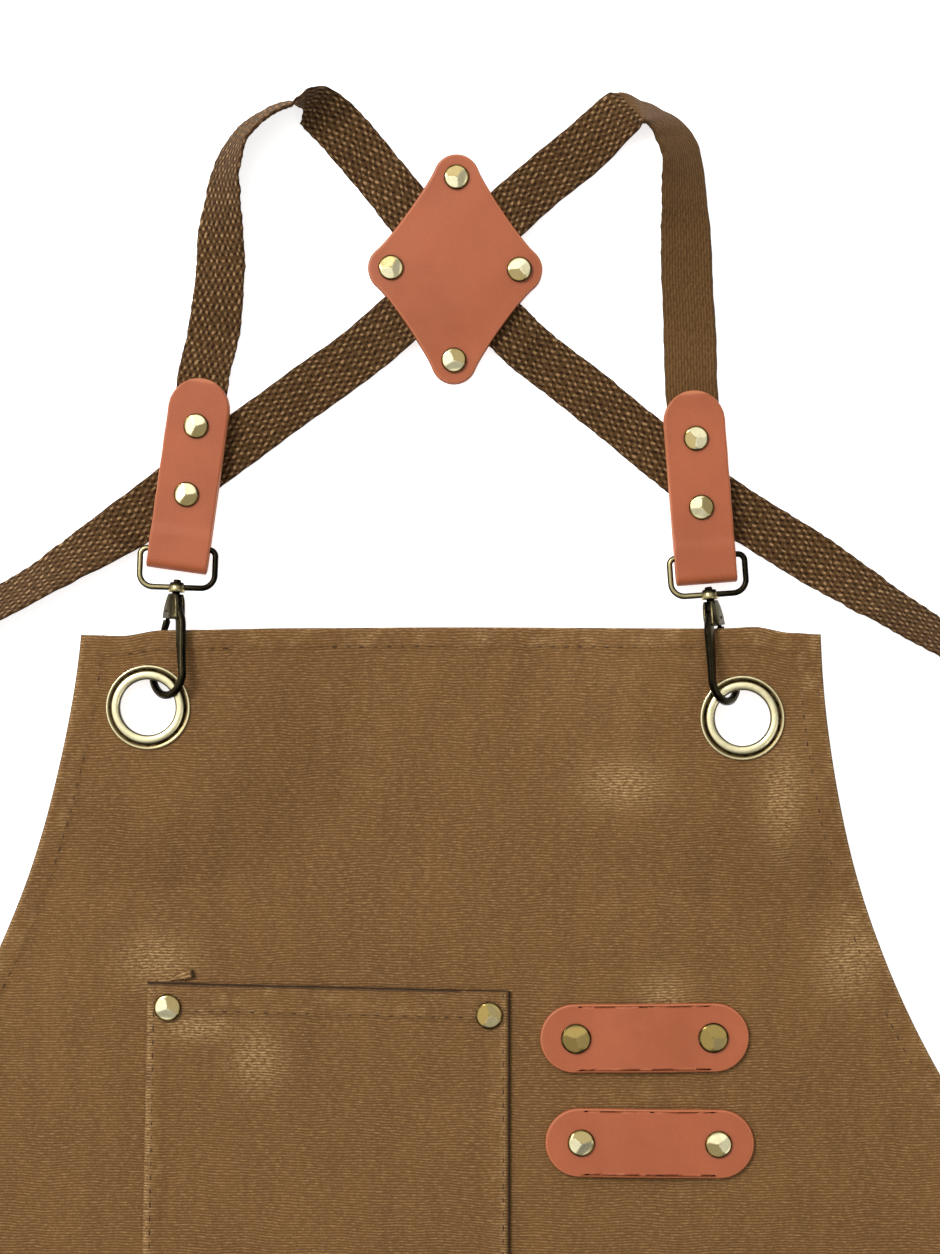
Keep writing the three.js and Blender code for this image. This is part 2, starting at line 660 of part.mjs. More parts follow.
// A smooth curve through the rows, in steps that are shorter where the webbing turns or twists
function smoothRows(rows) {
  const keys = ['x', 'y', 'z', 'turn', 'tilt'];
  const fine = [];
  const row = (i) => rows[THREE.MathUtils.clamp(i, 0, rows.length - 1)];
  for (let i = 0; i + 1 < rows.length; i += 1) {
    const [here, next] = [row(i), row(i + 1)];
    const span = Math.hypot(next.x - here.x, next.y - here.y) / STRAP_STEP;
    const swing = (Math.abs(next.turn - here.turn) + Math.abs(next.tilt - here.tilt)) / STRAP_TURN_STEP;
    const cuts = Math.max(1, Math.round(span), Math.round(swing));
    for (let c = 0; c < cuts; c += 1) {
      const t = c / cuts;
      const blended = {};
      for (const key of keys) {
        const [a, b, d, e] = [row(i - 1)[key], row(i)[key], row(i + 1)[key], row(i + 2)[key]];
        const curve = 0.5 * (2 * b + (d - a) * t + (2 * a - 5 * b + 4 * d - e) * t * t
          + (3 * b - a - 3 * d + e) * t * t * t);
        const straight = b + (d - b) * smooth(t);
        blended[key] = key === 'x' || key === 'y' ? curve : straight;
      }
      fine.push(blended);
    }
  }
  fine.push({ ...row(rows.length - 1) });
  return fine;
}

function tabRivets(side) {
  const tab = tabFrame(side);
  return [['upper', TAB_RIVET_FIRST], ['lower', TAB_RIVET_FIRST + TAB_RIVET_PITCH]].map(([name, at]) => ({
    name, up: TAB_LENGTH - at,
    x: tab.x - tab.down.x * (TAB_LENGTH - at), y: tab.y - tab.down.y * (TAB_LENGTH - at),
  }));
}

function shoulderStrap(name, side, rows) {
  const mirror = side.hand < 0 ? 1 : -1;
  const stations = smoothRows(strapRoute(side, rows));
  const sections = stations.map((station) => {
    const tilt = degrees(station.tilt);
    const turn = degrees(station.turn);
    const way = v3(Math.cos(turn) * Math.cos(tilt), Math.sin(turn) * Math.cos(tilt), Math.sin(tilt));
    const face = v3(-Math.cos(turn) * Math.sin(tilt), -Math.sin(turn) * Math.sin(tilt), Math.cos(tilt));
    const reach = STRAP_WIDTH / 2 * Math.abs(Math.sin(tilt))
      + STRAP_THICKNESS / 2 * Math.abs(Math.cos(tilt));
    const middle = v3(station.x, station.y, station.z + reach);
    const half = STRAP_WIDTH / 2;
    const thin = STRAP_THICKNESS / 2;
    const corners = [[-half, -thin], [half, -thin], [half, thin], [-half, thin]];
    return corners.map(([across, up]) => {
      const point = middle.clone().addScaledVector(way, across).addScaledVector(face, up);
      return v3(mirror * point.x, point.y, point.z);
    });
  });
  let solid = toSolid(loft(sections));
  for (const at of tabRivets(side)) {
    const bore = cylinder(POST_RADIUS + HOLE_CLEARANCE, -5, 30, 8).translate(at.x, at.y, 0);
    solid = solid.subtract(toSolid(bore));
  }
  return piece(name, toGeometry(solid), webbing);
}

// Crossing patch: four lobes joined by slightly hollow sides

function patchLobes() {
  const tall = PATCH_HEIGHT / 2 - PATCH_LOBE;
  const wide = PATCH_WIDTH / 2 - PATCH_LOBE;
  return [
    { name: 'top', x: 0, y: tall }, { name: 'left', x: -wide, y: 0 },
    { name: 'bottom', x: 0, y: -tall }, { name: 'right', x: wide, y: 0 },
  ];
}

function patchOutline() {
  const outline = new THREE.Shape();
  const lobes = patchLobes();
  lobes.forEach((lobe, i) => {
    const next = lobes[(i + 1) % 4];
    const before = lobes[(i + 3) % 4];
    const from = Math.atan2(lobe.y - before.y, lobe.x - before.x) - Math.PI / 2;
    const to = Math.atan2(next.y - lobe.y, next.x - lobe.x) - Math.PI / 2;
    outline.absarc(lobe.x, lobe.y, PATCH_LOBE, from + 0.12, to - 0.12);
    const away = PATCH_LOBE - 1.4;
    const middle = {
      x: (lobe.x + next.x) / 2 + away * Math.cos(to), y: (lobe.y + next.y) / 2 + away * Math.sin(to),
    };
    const end = {
      x: next.x + PATCH_LOBE * Math.cos(to + 0.12), y: next.y + PATCH_LOBE * Math.sin(to + 0.12),
    };
    outline.quadraticCurveTo(middle.x, middle.y, end.x, end.y);
  });
  return outline;
}

const patchTop = STRAP_LEVELS[2] + STRAP_THICKNESS + GAP;
const UPPER_STRAP_TURN = 45.5;
const patchRidge = STRAP_WIDTH / 2 + 0.6;
const patchSlope = patchRidge + 17;

// The front leather comes down a little on both sides of the upper strap
function patchDrop(across) {
  const share = (Math.abs(across) - patchRidge) / (patchSlope - patchRidge);
  return PATCH_DROP * THREE.MathUtils.clamp(share, 0, 1);
}

function crossPatch() {
  const outline = toSolid(plate(patchOutline(), -5, 30, 5));
  const under = [];
  const over = [];
  const far = PATCH_HEIGHT;
  const ends = [-far, far];
  const turn = degrees(UPPER_STRAP_TURN - PATCH_AT.lean);
  for (const across of [-far, -patchSlope, -patchRidge, patchRidge, patchSlope, far]) {
    const low = patchTop - patchDrop(across);
    under.push(ends.map((along) => v3(along, across, low)));
    over.push(ends.map((along) => v3(along, across, low + LEATHER)));
  }
  let front = toSolid(sheet(under, over).rotateZ(turn)).intersect(outline);
  let back = toSolid(plate(patchOutline(), 0, LEATHER, 5));
  for (const lobe of patchLobes()) {
    const bore = toSolid(cylinder(POST_RADIUS + HOLE_CLEARANCE, -5, 30, 8).translate(lobe.x, lobe.y, 0));
    const sink = cylinder(BURR_RADIUS + HOLE_CLEARANCE, -5, BURR_THICKNESS + GAP, 8);
    front = front.subtract(bore);
    back = back.subtract(bore).subtract(toSolid(sink.translate(lobe.x, lobe.y, 0)));
  }
  const rivets = patchLobes().map((lobe) => {
    const across = Math.abs(lobe.y * Math.cos(turn) - lobe.x * Math.sin(turn)) - RIVET_RADIUS;
    const seat = patchTop - patchDrop(across) + LEATHER + GAP;
    return rivet(`patch_rivet_${lobe.name}`, lobe.x, lobe.y, BURR_THICKNESS, seat, RIVET_RADIUS);
  });
  return placed(
    PATCH_AT.x, PATCH_AT.y, PATCH_AT.lean,
    piece('cross_patch_front', toGeometry(front), leather),
    piece('cross_patch_back', toGeometry(back), leather),
    ...rivets,
  );
}

// Leather tabs, each folded round the bar of its ring

function bossAt(side) {
  return {
    x: eyeletX(side) + side.bossX * HOOK_REACH, y: eyeletY(side) + side.bossY * HOOK_REACH,
  };
}

function tabFrame(side) {
  const boss = bossAt(side);
  const lean = degrees(side.tabLean);
  return {
    x: boss.x + side.tabX * RING_HEIGHT, y: boss.y + side.tabY * RING_HEIGHT, lean: side.tabLean,
    down: { x: Math.sin(lean), y: -Math.cos(lean) },
  };
}

function tabProfile() {
  const outer = new THREE.Shape();
  const low = tabFloor;
  const high = tabTop;
  const bulge = high + TAB_BULGE;
  const round = (bulge - low) / 2;
  const bend = TAB_FOLD_REACH - 4;
  const inner = round - LEATHER;
  outer.moveTo(TAB_LENGTH, low);
  outer.lineTo(round, low);
  outer.absarc(round, low + round, round, 1.5 * Math.PI, 0.5 * Math.PI, true);
  outer.lineTo(bend, bulge);
  outer.lineTo(TAB_FOLD_REACH, high);
  outer.lineTo(TAB_LENGTH, high);
  outer.lineTo(TAB_LENGTH, high - LEATHER);
  outer.lineTo(TAB_FOLD_REACH, high - LEATHER);
  outer.lineTo(bend, bulge - LEATHER);
  outer.lineTo(round, bulge - LEATHER);
  outer.absarc(round, low + round, inner, 0.5 * Math.PI, 1.5 * Math.PI, false);
  outer.lineTo(TAB_LENGTH, low + LEATHER);
  return outer;
}

function leatherTab(side) {
  const half = TAB_WIDTH / 2;
  const plan = new THREE.Shape();
  plan.moveTo(-half, -1);
  plan.lineTo(half, -1);
  plan.absarc(0, TAB_LENGTH - half, half, 0, Math.PI);
  const options = { depth: 2 * TAB_WIDTH, bevelEnabled: false, curveSegments: 5 };
  const hairpin = new THREE.ExtrudeGeometry(tabProfile(), options);
  // The profile is drawn in the plane of length and height: turn length to Y and height to Z
  hairpin.rotateX(Math.PI / 2).rotateZ(Math.PI / 2).translate(-TAB_WIDTH, 0, 0);
  let solid = toSolid(hairpin).intersect(toSolid(plate(plan, -5, 30, 6)));
  const rivets = [];
  for (const { name, up } of tabRivets(side)) {
    const bore = cylinder(POST_RADIUS + HOLE_CLEARANCE, -5, 30, 8).translate(0, up, 0);
    const sink = cylinder(BURR_RADIUS + HOLE_CLEARANCE, -5, tabFloor + BURR_THICKNESS + GAP, 8);
    solid = solid.subtract(toSolid(bore)).subtract(toSolid(sink.translate(0, up, 0)));
    rivets.push(rivet(`tab_rivet_${name}_${side.name}`, 0, up, tabFloor + BURR_THICKNESS,
      tabTop + GAP, RIVET_RADIUS));
  }
  const tab = tabFrame(side);
  const mesh = piece(`leather_tab_${side.name}`, toGeometry(solid), leather);
  return placed(tab.x, tab.y, tab.lean, mesh, ...rivets);
}

// Eyelets: a rolled grommet through the cloth and a washer under its roll

function eyelet(side) {
  const bore = EYELET_HOLE / 2;
  const barrel = bore + EYELET_METAL;
  const rim = EYELET_RIM / 2;
  const washerLow = CLOTH + GAP;
  const washerHigh = washerLow + EYELET_WASHER;
  const rollLow = washerHigh + GAP;
  const rollTop = rollLow + EYELET_RISE;
  const roll = bore + EYELET_ROLL;
  const grommet = [
    [bore, 0], [bore, rollLow + 0.3], [bore + 0.35 * EYELET_ROLL, rollTop],
    [bore + 0.65 * EYELET_ROLL, rollTop], [roll, rollLow + 0.4], [roll - 0.4, rollLow],
    [barrel, rollLow], [barrel, -GAP], [rim - 1.2, -GAP], [bore + 1.2, -GAP - EYELET_BACK],
    [bore, 0],
  ];
  const washer = [
    [barrel + GAP, washerLow], [rim, washerLow], [rim - 0.3, washerHigh + 0.3],
    [roll + 0.1, washerHigh], [barrel + GAP, washerHigh], [barrel + GAP, washerLow],
  ];
  const seat = eyeletSeat(side);
  const group = placed(
    seat.x, seat.y, 0,
    piece(`eyelet_${side.name}`, turned(grommet.reverse(), 18), antique),
    piece(`eyelet_washer_${side.name}`, turned(washer, 18), antique),
  );
  group.position.z = seat.z;
  return group;
}

// Strap-eye ring: a rounded loop of wire with a collar for the hook's post on its lower bar

function eyeRing(side) {
  const half = (RING_INSIDE + RING_WIRE) / 2;
  const path = new THREE.Path();
  const [low, high] = [RING_CORNER, RING_TOP_CORNER];
  path.moveTo(low - half, 0);
  path.lineTo(half - low, 0);
  path.absarc(half - low, low, low, -Math.PI / 2, 0);
  path.lineTo(half, RING_HEIGHT - high);
  path.absarc(half - high, RING_HEIGHT - high, high, 0, Math.PI / 2);
  path.lineTo(high - half, RING_HEIGHT);
  path.absarc(high - half, RING_HEIGHT - high, high, Math.PI / 2, Math.PI);
  path.lineTo(-half, low);
  path.absarc(low - half, low, low, Math.PI, 1.5 * Math.PI);
  const points = path.getPoints(3);
  const kept = points.filter((p, i) => i === 0 || p.distanceTo(points[i - 1]) > 0.05);
  if (kept[0].distanceTo(kept[kept.length - 1]) < 0.05) kept.pop();
  const count = 6;
  const rings = kept.map((p, i) => {
    const before = kept[(i + kept.length - 1) % kept.length];
    const after = kept[(i + 1) % kept.length];
    const way = after.clone().sub(before).normalize();
    const out = new THREE.Vector2(way.y, -way.x);
    const bend = Math.abs(out.dot(p.clone().sub(before).normalize()));
    const stretch = 1 / Math.sqrt(1 - bend * bend);
    return Array.from({ length: count }, (_, k) => {
      const angle = 2 * Math.PI * k / count;
      const aside = RING_WIRE / 2 * Math.cos(angle) * stretch;
      return v3(p.x + out.x * aside, p.y + out.y * aside, RING_WIRE / 2 * Math.sin(angle));
    });
  });
  const faces = [];
  rings.forEach((_, s) => {
    const next = (s + 1) % rings.length;
    for (let i = 0; i < count; i += 1) {
      const j = (i + 1) % count;
      faces.push([s * count + i, s * count + j, next * count + j]);
      faces.push([s * count + i, next * count + j, next * count + i]);
    }
  });
  const top = COLLAR_LENGTH / 2;
  const collar = turned([
    [0, -top], [COLLAR_RADIUS - 0.5, -top], [COLLAR_RADIUS, 0], [COLLAR_RADIUS - 0.7, top], [0, top],
  ], 10).rotateX(-Math.PI / 2);
  const bore = cylinder(HOOK_POST_RADIUS + SWIVEL_PLAY, -9, 9, 10).rotateX(-Math.PI / 2);
  const solid = toSolid(outward(rings.flat(), faces)).add(toSolid(collar)).subtract(toSolid(bore));
  return piece(`hook_ring_${side.name}`, toGeometry(solid), bronze);
}

// Snap hook. In its own frame x is across the loop towards the spine, y is back along the axis
// from the loop to the ring, and z is square to the loop

// A section with cut corners, thick in the loop's plane and wide square to it
function barSection(x, down, angle, thick, wide) {
  const [a, b] = [thick / 2, wide / 2];
  const cut = 0.3 * Math.min(thick, wide);
  const corners = [
    [a, cut - b], [a, b - cut], [a - cut, b], [cut - a, b],
    [-a, b - cut], [-a, cut - b], [cut - a, -b], [a - cut, -b],
  ];
  return corners.map(([out, up]) => (
    v3(x + out * Math.cos(angle), -down + out * Math.sin(angle), up)));
}

// Spine of the hook: shares of the loop's place down the axis and of its radius
const SPINE = [
  { down: 0.18, inner: -0.18, thick: 4.4, wide: 3.6 },
  { down: 0.36, inner: 0.21, thick: 4.6, wide: 3.0 },
  { down: 0.50, inner: 0.34, thick: 4.4, wide: 3.0 },
  { down: 0.65, inner: 0.46, thick: 4.1, wide: 3.0 },
  { down: 0.83, inner: 0.64, thick: 3.5, wide: 3.0 },
];
// Body: shares of its length, its half across the loop and its width
const BODY = [
  { down: 0, low: -0.48, high: 0.50, wide: 0.88 },
  { down: 0.24, low: -0.65, high: 0.70, wide: 1 },
  { down: 0.60, low: -0.85, high: 0.85, wide: 1 },
  { down: 1, low: -0.93, high: 1, wide: 0.92 },
];
// Lever: shares of its length from the pivot to the tip and of how far it leans across, and of the
// wire's thickness
const LEVER = [
  { down: 0.16, side: 0.23, thick: 0.70, wide: 1 },
  { down: 0.31, side: 0.37, thick: 0.67, wide: 1 },
  { down: 0.40, side: 0.47, thick: 0.47, wide: 0.87 },
  { down: 1, side: 1, thick: 0.43, wide: 0.80 },
];
const bodyStart = COLLAR_LENGTH / 2 + SWIVEL_PLAY;

function hookBody(side) {
  const spine = SPINE.map(({ down, inner, thick, wide }) => (
    barSection(inner * HOOK_LOOP_RADIUS + thick / 2, down * HOOK_LOOP_AT, 0, thick, wide)));
  const turns = 9;
  for (let i = 0; i <= turns; i += 1) {
    const angle = -Math.PI * i / turns;
    spine.push(barSection(HOOK_LOOP_RADIUS * Math.cos(angle),
      HOOK_LOOP_AT - HOOK_LOOP_RADIUS * Math.sin(angle), angle, HOOK_WIRE, HOOK_WIRE));
  }
  spine.push(barSection(-HOOK_LOOP_RADIUS, HOOK_LOOP_AT - 1.5, -Math.PI, HOOK_WIRE - 0.4,
    HOOK_WIRE - 0.3));
  const body = BODY.map(({ down, low, high, wide }) => (
    barSection((low + high) / 2 * HOOK_BODY_HALF, bodyStart + down * HOOK_BODY_LENGTH, 0,
      (high - low) * HOOK_BODY_HALF, wide * HOOK_BODY_WIDE)));
  const head = bodyStart;
  const post = turned([
    [0, -3], [HOOK_POST_RADIUS, -3], [HOOK_POST_RADIUS, head], [2.5, head], [2.1, head + 0.9],
    [0, head + 1.3],
  ], 10).rotateX(-Math.PI / 2);
  const slotHalf = LEVER_ROOT / 2 + GAP;
  const slotEdge = -PIVOT_SIDE + LEVER_ROOT_RADIUS + GAP;
  const slot = new THREE.BoxGeometry(10, 12, 2 * slotHalf)
    .translate(slotEdge - 5, -(PIVOT_AT - LEVER_ROOT_RADIUS - GAP) - 6, 0);
  const pin = cylinder(PIVOT_PIN, -2, 2, 8).translate(-PIVOT_SIDE, -PIVOT_AT, 0);
  let solid = toSolid(loft(body)).subtract(toSolid(slot)).add(toSolid(loft(spine)));
  solid = solid.add(toSolid(post)).add(toSolid(pin));
  return piece(`hook_body_${side.name}`, toGeometry(solid), bronze);
}

function hookLever(side) {
  const finger = LEVER.map((row) => (
    barSection(-PIVOT_SIDE - row.side * LEVER_ACROSS, PIVOT_AT + row.down * LEVER_LENGTH, 0,
      row.thick * HOOK_WIRE, row.wide * HOOK_WIRE)));
  const neck = [
    barSection(-PIVOT_SIDE - 0.03 * LEVER_ACROSS, PIVOT_AT, 0, LEVER_NECK, LEVER_ROOT),
    barSection(-PIVOT_SIDE - 0.23 * LEVER_ACROSS, PIVOT_AT + 0.19 * LEVER_LENGTH, 0,
      LEVER_NECK, LEVER_ROOT),
  ];
  const root = cylinder(LEVER_ROOT_RADIUS, -LEVER_ROOT / 2, LEVER_ROOT / 2, 12);
  const bore = cylinder(PIVOT_PIN + 0.2, -3, 3, 8);
  for (const round of [root, bore]) round.translate(-PIVOT_SIDE, -PIVOT_AT, 0);
  const solid = toSolid(loft(finger)).add(toSolid(loft(neck))).add(toSolid(root))
    .subtract(toSolid(bore));
  return piece(`hook_lever_${side.name}`, toGeometry(solid), bronze);
}

// The hook is made for the left side, and turned over about its axis for the right
function ringAndHook(side) {
  const boss = bossAt(side);
  const fold = (tabFloor + tabTop + TAB_BULGE) / 2;
  const ring = placed(0, 0, side.ringLean, eyeRing(side));
  ring.children[0].rotation.x = -Math.asin((HOOK_RISE - fold) / RING_HEIGHT);
  const roll = new THREE.Group();
  roll.add(hookBody(side), hookLever(side));
  roll.rotation.y = side.hand < 0 ? -degrees(side.hookRoll) : degrees(side.hookRoll) + Math.PI;
  const pitch = new THREE.Group();
  pitch.rotation.x = -degrees(side.hookPitch);
  pitch.add(roll);
  const hook = placed(0, 0, side.hookLean, pitch);
  const group = placed(boss.x, boss.y, 0, ring, hook);
  group.position.z = HOOK_RISE;
  return group;
}

// Assembly, moved so that its origin is under the middle of its box

const apron = new THREE.Group();
const [leftSide, rightSide] = SIDES;
apron.add(
  apronPanel(), chestPocket(), ...pocketRivets(), ...LOOPS.map(toolLoop),
  ...SIDES.map(eyelet), ...SIDES.map(ringAndHook), ...SIDES.map(leatherTab),
  shoulderStrap('shoulder_strap_left', leftSide, STRAP_LEFT),
  shoulderStrap('shoulder_strap_right', rightSide, STRAP_RIGHT),
  crossPatch(),
);
apron.updateMatrixWorld(true);
const box = new THREE.Box3().setFromObject(apron, true);
const centre = box.getCenter(v3(0, 0, 0));
apron.position.set(-centre.x, -centre.y, -box.min.z);

const part = new THREE.Group();
part.add(apron);
part.updateMatrixWorld(true);

export default part;
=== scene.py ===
# %% [markdown]
# A waxed canvas work apron, lying flat on its back and seen from straight above.
# The solids of the apron are already made. This lesson dresses them: it builds finer pieces in the
# same places, from the same sizes, and gives each its cloth, leather or metal finish.

# %% Load the frame
import math
import bpy
import numpy as np
from mathutils import Matrix, Vector


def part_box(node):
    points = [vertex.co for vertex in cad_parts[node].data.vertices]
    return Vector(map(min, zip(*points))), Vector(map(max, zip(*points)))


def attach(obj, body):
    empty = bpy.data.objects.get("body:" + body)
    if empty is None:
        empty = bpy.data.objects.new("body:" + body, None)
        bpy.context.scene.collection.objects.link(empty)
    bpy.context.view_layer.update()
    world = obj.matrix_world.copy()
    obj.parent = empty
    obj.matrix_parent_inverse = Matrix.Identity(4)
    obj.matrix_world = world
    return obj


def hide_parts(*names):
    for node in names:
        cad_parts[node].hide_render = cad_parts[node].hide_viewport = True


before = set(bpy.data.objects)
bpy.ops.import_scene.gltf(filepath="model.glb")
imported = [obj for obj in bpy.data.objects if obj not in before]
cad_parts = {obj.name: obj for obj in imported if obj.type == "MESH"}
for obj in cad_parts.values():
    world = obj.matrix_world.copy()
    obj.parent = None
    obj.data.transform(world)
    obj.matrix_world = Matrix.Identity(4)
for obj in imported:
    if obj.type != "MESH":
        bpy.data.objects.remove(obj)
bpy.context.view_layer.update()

# %% [markdown]
# The apron was drawn in millimetres, from the middle of the bib's top edge. The frame is in metres,
# from the middle of its own box. The leather behind the crossing gives the way from one to the
# other, because its middle is known in both.

# %% Sizes that the pieces share
BIB_WIDTH, APRON_LENGTH, ARMHOLE_DEPTH = 284, 850, 295
ARMHOLE_REACH, ARMHOLE_FLARE, ARMHOLE_TURN, LEAN = 170, 0.055, 0.922, 0.035
CLOTH, HEM_EXTRA, GAP = 1.0, 0.5, 0.3
TOP_HEM, SIDE_HEM, BOTTOM_HEM = 7.5, 9, 16
STRAP_WIDTH, STRAP_THICKNESS, YOKE_RISE = 20.4, 1.9, 206
TAIL_BOW, TAIL_UNDER = 74, 32
LEATHER, TAB_WIDTH, TAB_LENGTH, TAB_FOLD_REACH, TAB_BULGE = 2.0, 23.5, 74.5, 18, 0.7
TAB_RIVETS = (18.5, 45.0)
PATCH_HEIGHT, PATCH_WIDTH, PATCH_LOBE, PATCH_DROP = 88, 67, 8.9, 0.7
LOOP_LENGTH, LOOP_WIDTH, LOOP_RIVET_PITCH, LOOP_RISE = 80.5, 26.5, 52.8, 0.8
POCKET_WIDTH, POCKET_HEIGHT, POCKET_HEM, POCKET_MOUTH = 139.5, 162, 11.5, 1.4
POCKET_RIVET_IN, POCKET_RIVET_DOWN = 8, 9.5
RIVET_DOME, POST_RADIUS, BURR_RADIUS, BURR_THICKNESS = 1.9, 1.5, 4.0, 0.8
EYELET_HOLE, EYELET_ROLL, EYELET_RISE, EYELET_RIM = 21.3, 3.6, 1.5, 32.4
EYELET_METAL, EYELET_BACK, EYELET_WASHER = 0.8, 0.7, 0.5
RING_INSIDE, RING_HEIGHT, RING_WIRE, RING_CORNER, RING_TOP_CORNER = 26.6, 14.9, 2.3, 5.2, 2.6
COLLAR_RADIUS, COLLAR_LENGTH, SWIVEL_PLAY = 3.3, 3.8, 0.65
HOOK_WIRE, HOOK_LOOP_RADIUS, HOOK_LOOP_AT, HOOK_REACH, HOOK_RISE = 3.0, 8.6, 33, 46.6, 6.8
HOOK_BODY_LENGTH, HOOK_BODY_HALF, HOOK_BODY_WIDE, HOOK_POST_RADIUS = 9.6, 4.6, 4.8, 1.5
PIVOT_AT, PIVOT_SIDE, PIVOT_PIN = 9.3, 2.2, 0.6
LEVER_ROOT, LEVER_ROOT_RADIUS, LEVER_NECK, LEVER_LENGTH, LEVER_ACROSS = 1.4, 1.7, 1.8, 21.6, 6.2
half_bib = BIB_WIDTH / 2
waist_half = half_bib + ARMHOLE_FLARE * ARMHOLE_DEPTH + ARMHOLE_REACH
SIDES = {
    "left": dict(hand=-1, eye=(25.79, 29.61), lift=6.4, boss=(0.234, 0.987), lean=-5.7, roll=45,
                 pitch=3.1, ring_lean=-2, tab=(-0.013, 0.430), tab_lean=-8),
    "right": dict(hand=1, eye=(30.21, 33.70), lift=6.65, boss=(-0.270, 1.015), lean=9.6, roll=54,
                  pitch=3.6, ring_lean=4, tab=(-0.060, 0.275), tab_lean=4.5),
}
for side in SIDES.values():
    side["x"], side["y"] = side["hand"] * (half_bib - side["eye"][0]), -side["eye"][1]
    side["boss_x"] = side["x"] + side["boss"][0] * HOOK_REACH
    side["boss_y"] = side["y"] + side["boss"][1] * HOOK_REACH
    side["tab_x"] = side["boss_x"] + side["tab"][0] * RING_HEIGHT
    side["tab_y"] = side["boss_y"] + side["tab"][1] * RING_HEIGHT
PATCH_AT = (1.6, 0.673 * YOKE_RISE, -0.8)
POCKET_AT = (-116.8, -135.4, -1.4)
loop_x = POCKET_AT[0] + POCKET_WIDTH + 11.5 + LOOP_LENGTH / 2
LOOPS = {"upper": (loop_x, POCKET_AT[1] - 21.5, 0.4), "lower": (loop_x + 2.0, POCKET_AT[1] - 62.0, -0.6)}

low, high = (np.array(corner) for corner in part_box("cross_patch_back"))
shift = (low + high) / 2 * 1000 - np.array([PATCH_AT[0], PATCH_AT[1], 0])
shift[2] = 0
print("drawing to frame, mm:", shift.round(3))

# %% [markdown]
# Every piece here is a mesh that numpy works out: rows of points, joined by faces. One helper moves
# the points into the frame and makes the object, and one finds which way a closed skin faces.

# %% Mesh helpers
def outward(points, faces):
    """Faces of a closed skin, turned so that they point outwards."""
    a, b, c = (points[faces[:, k]] for k in range(3))
    volume = np.einsum("ij,ij->i", a, np.cross(b, c)).sum()
    if faces.shape[1] == 4:
        d = points[faces[:, 3]]
        volume += np.einsum("ij,ij->i", a, np.cross(c, d)).sum()
    return faces[:, ::-1] if volume < 0 else faces


def make_piece(name, points, face_sets, material, uv=None, values=None):
    mesh = bpy.data.meshes.new(name)
    faces = [face for faces in face_sets for face in np.asarray(faces).tolist()]
    mesh.from_pydata(((np.asarray(points) + shift) * 0.001).tolist(), [], faces)
    mesh.polygons.foreach_set("use_smooth", [True] * len(faces))
    corner = np.empty(len(mesh.loops), int)
    mesh.loops.foreach_get("vertex_index", corner)
    if uv is not None:
        layer = mesh.uv_layers.new(name="Cloth")
        layer.data.foreach_set("uv", np.asarray(uv, float)[corner].ravel())
    for key, numbers in (values or {}).items():
        store = mesh.attributes.new(key, "FLOAT", "POINT")
        store.data.foreach_set("value", np.asarray(numbers, float).ravel())
    mesh.update()
    piece = bpy.data.objects.new(name, mesh)
    bpy.context.scene.collection.objects.link(piece)
    mesh.materials.append(material)
    print(name, len(mesh.vertices), "points")
    return piece


def sheet_skin(under, over, keep=None):
    """Points and faces of a closed sheet between two grids. keep says which cells are there."""
    rows, columns = under.shape[:2]
    at = np.arange(rows * columns).reshape(rows, columns)
    top = rows * columns
    keep = np.ones((rows - 1, columns - 1), bool) if keep is None else keep
    a, b, c, d = at[:-1, :-1], at[:-1, 1:], at[1:, 1:], at[1:, :-1]
    below = np.stack([a[keep], b[keep], c[keep], d[keep]], 1)
    walls = []
    pad = np.zeros((rows + 1, columns + 1), bool)
    pad[1:-1, 1:-1] = keep
    after, before = pad[1:, 1:-1], pad[:-1, 1:-1]
    for kept, flip in ((after & ~before, 1), (before & ~after, 0)):
        r, c0 = np.nonzero(kept)
        e0, e1 = at[r, c0], at[r, c0 + 1]
        e0, e1 = (e1, e0) if flip else (e0, e1)
        walls.append(np.stack([e0, e1, e1 + top, e0 + top], 1))
    after, before = pad[1:-1, 1:], pad[1:-1, :-1]
    for kept, flip in ((after & ~before, 0), (before & ~after, 1)):
        r, c0 = np.nonzero(kept)
        e0, e1 = at[r, c0], at[r + 1, c0]
        e0, e1 = (e1, e0) if flip else (e0, e1)
        walls.append(np.stack([e0, e1, e1 + top, e0 + top], 1))
    points = np.concatenate([under.reshape(-1, 3), over.reshape(-1, 3)])
    faces = np.concatenate([below, below[:, ::-1] + top, *walls])
    used = np.unique(faces)
    fresh = np.full(len(points), -1)
    fresh[used] = np.arange(len(used))
    return points[used], outward(points[used], fresh[faces]), used


def tube_skin(rings, closed=False):
    """Points and faces of a skin over rings of points, with caps unless it closes on itself."""
    count, size = rings.shape[:2]
    at = np.arange(count * size).reshape(count, size)
    nxt = np.roll(at, -1, 0) if closed else at[1:]
    here = at if closed else at[:-1]
    quads = np.stack([here, np.roll(here, -1, 1), np.roll(nxt, -1, 1), nxt], -1).reshape(-1, 4)
    points = rings.reshape(-1, 3)
    if closed:
        return points, [outward(points, quads)]
    middles = np.stack([rings[0].mean(0), rings[-1].mean(0)])
    n = len(points)
    first = np.stack([np.roll(at[0], -1), at[0], np.full(size, n)], 1)
    last = np.stack([at[-1], np.roll(at[-1], -1), np.full(size, n + 1)], 1)
    points = np.concatenate([points, middles])
    caps = np.concatenate([first, last])
    turned = outward(points, quads)
    if not np.array_equal(turned, quads):
        caps = caps[:, ::-1]
    return points, [turned, caps]


def joined(*skins):
    """Several skins as one set of points and faces."""
    points, sets, count = [], [], 0
    for skin_points, face_sets in skins:
        points.append(skin_points)
        sets += [np.asarray(faces) + count for faces in face_sets]
        count += len(skin_points)
    return np.concatenate(points), sets


def smooth(t):
    t = np.clip(t, 0, 1)
    return t * t * (3 - 2 * t)


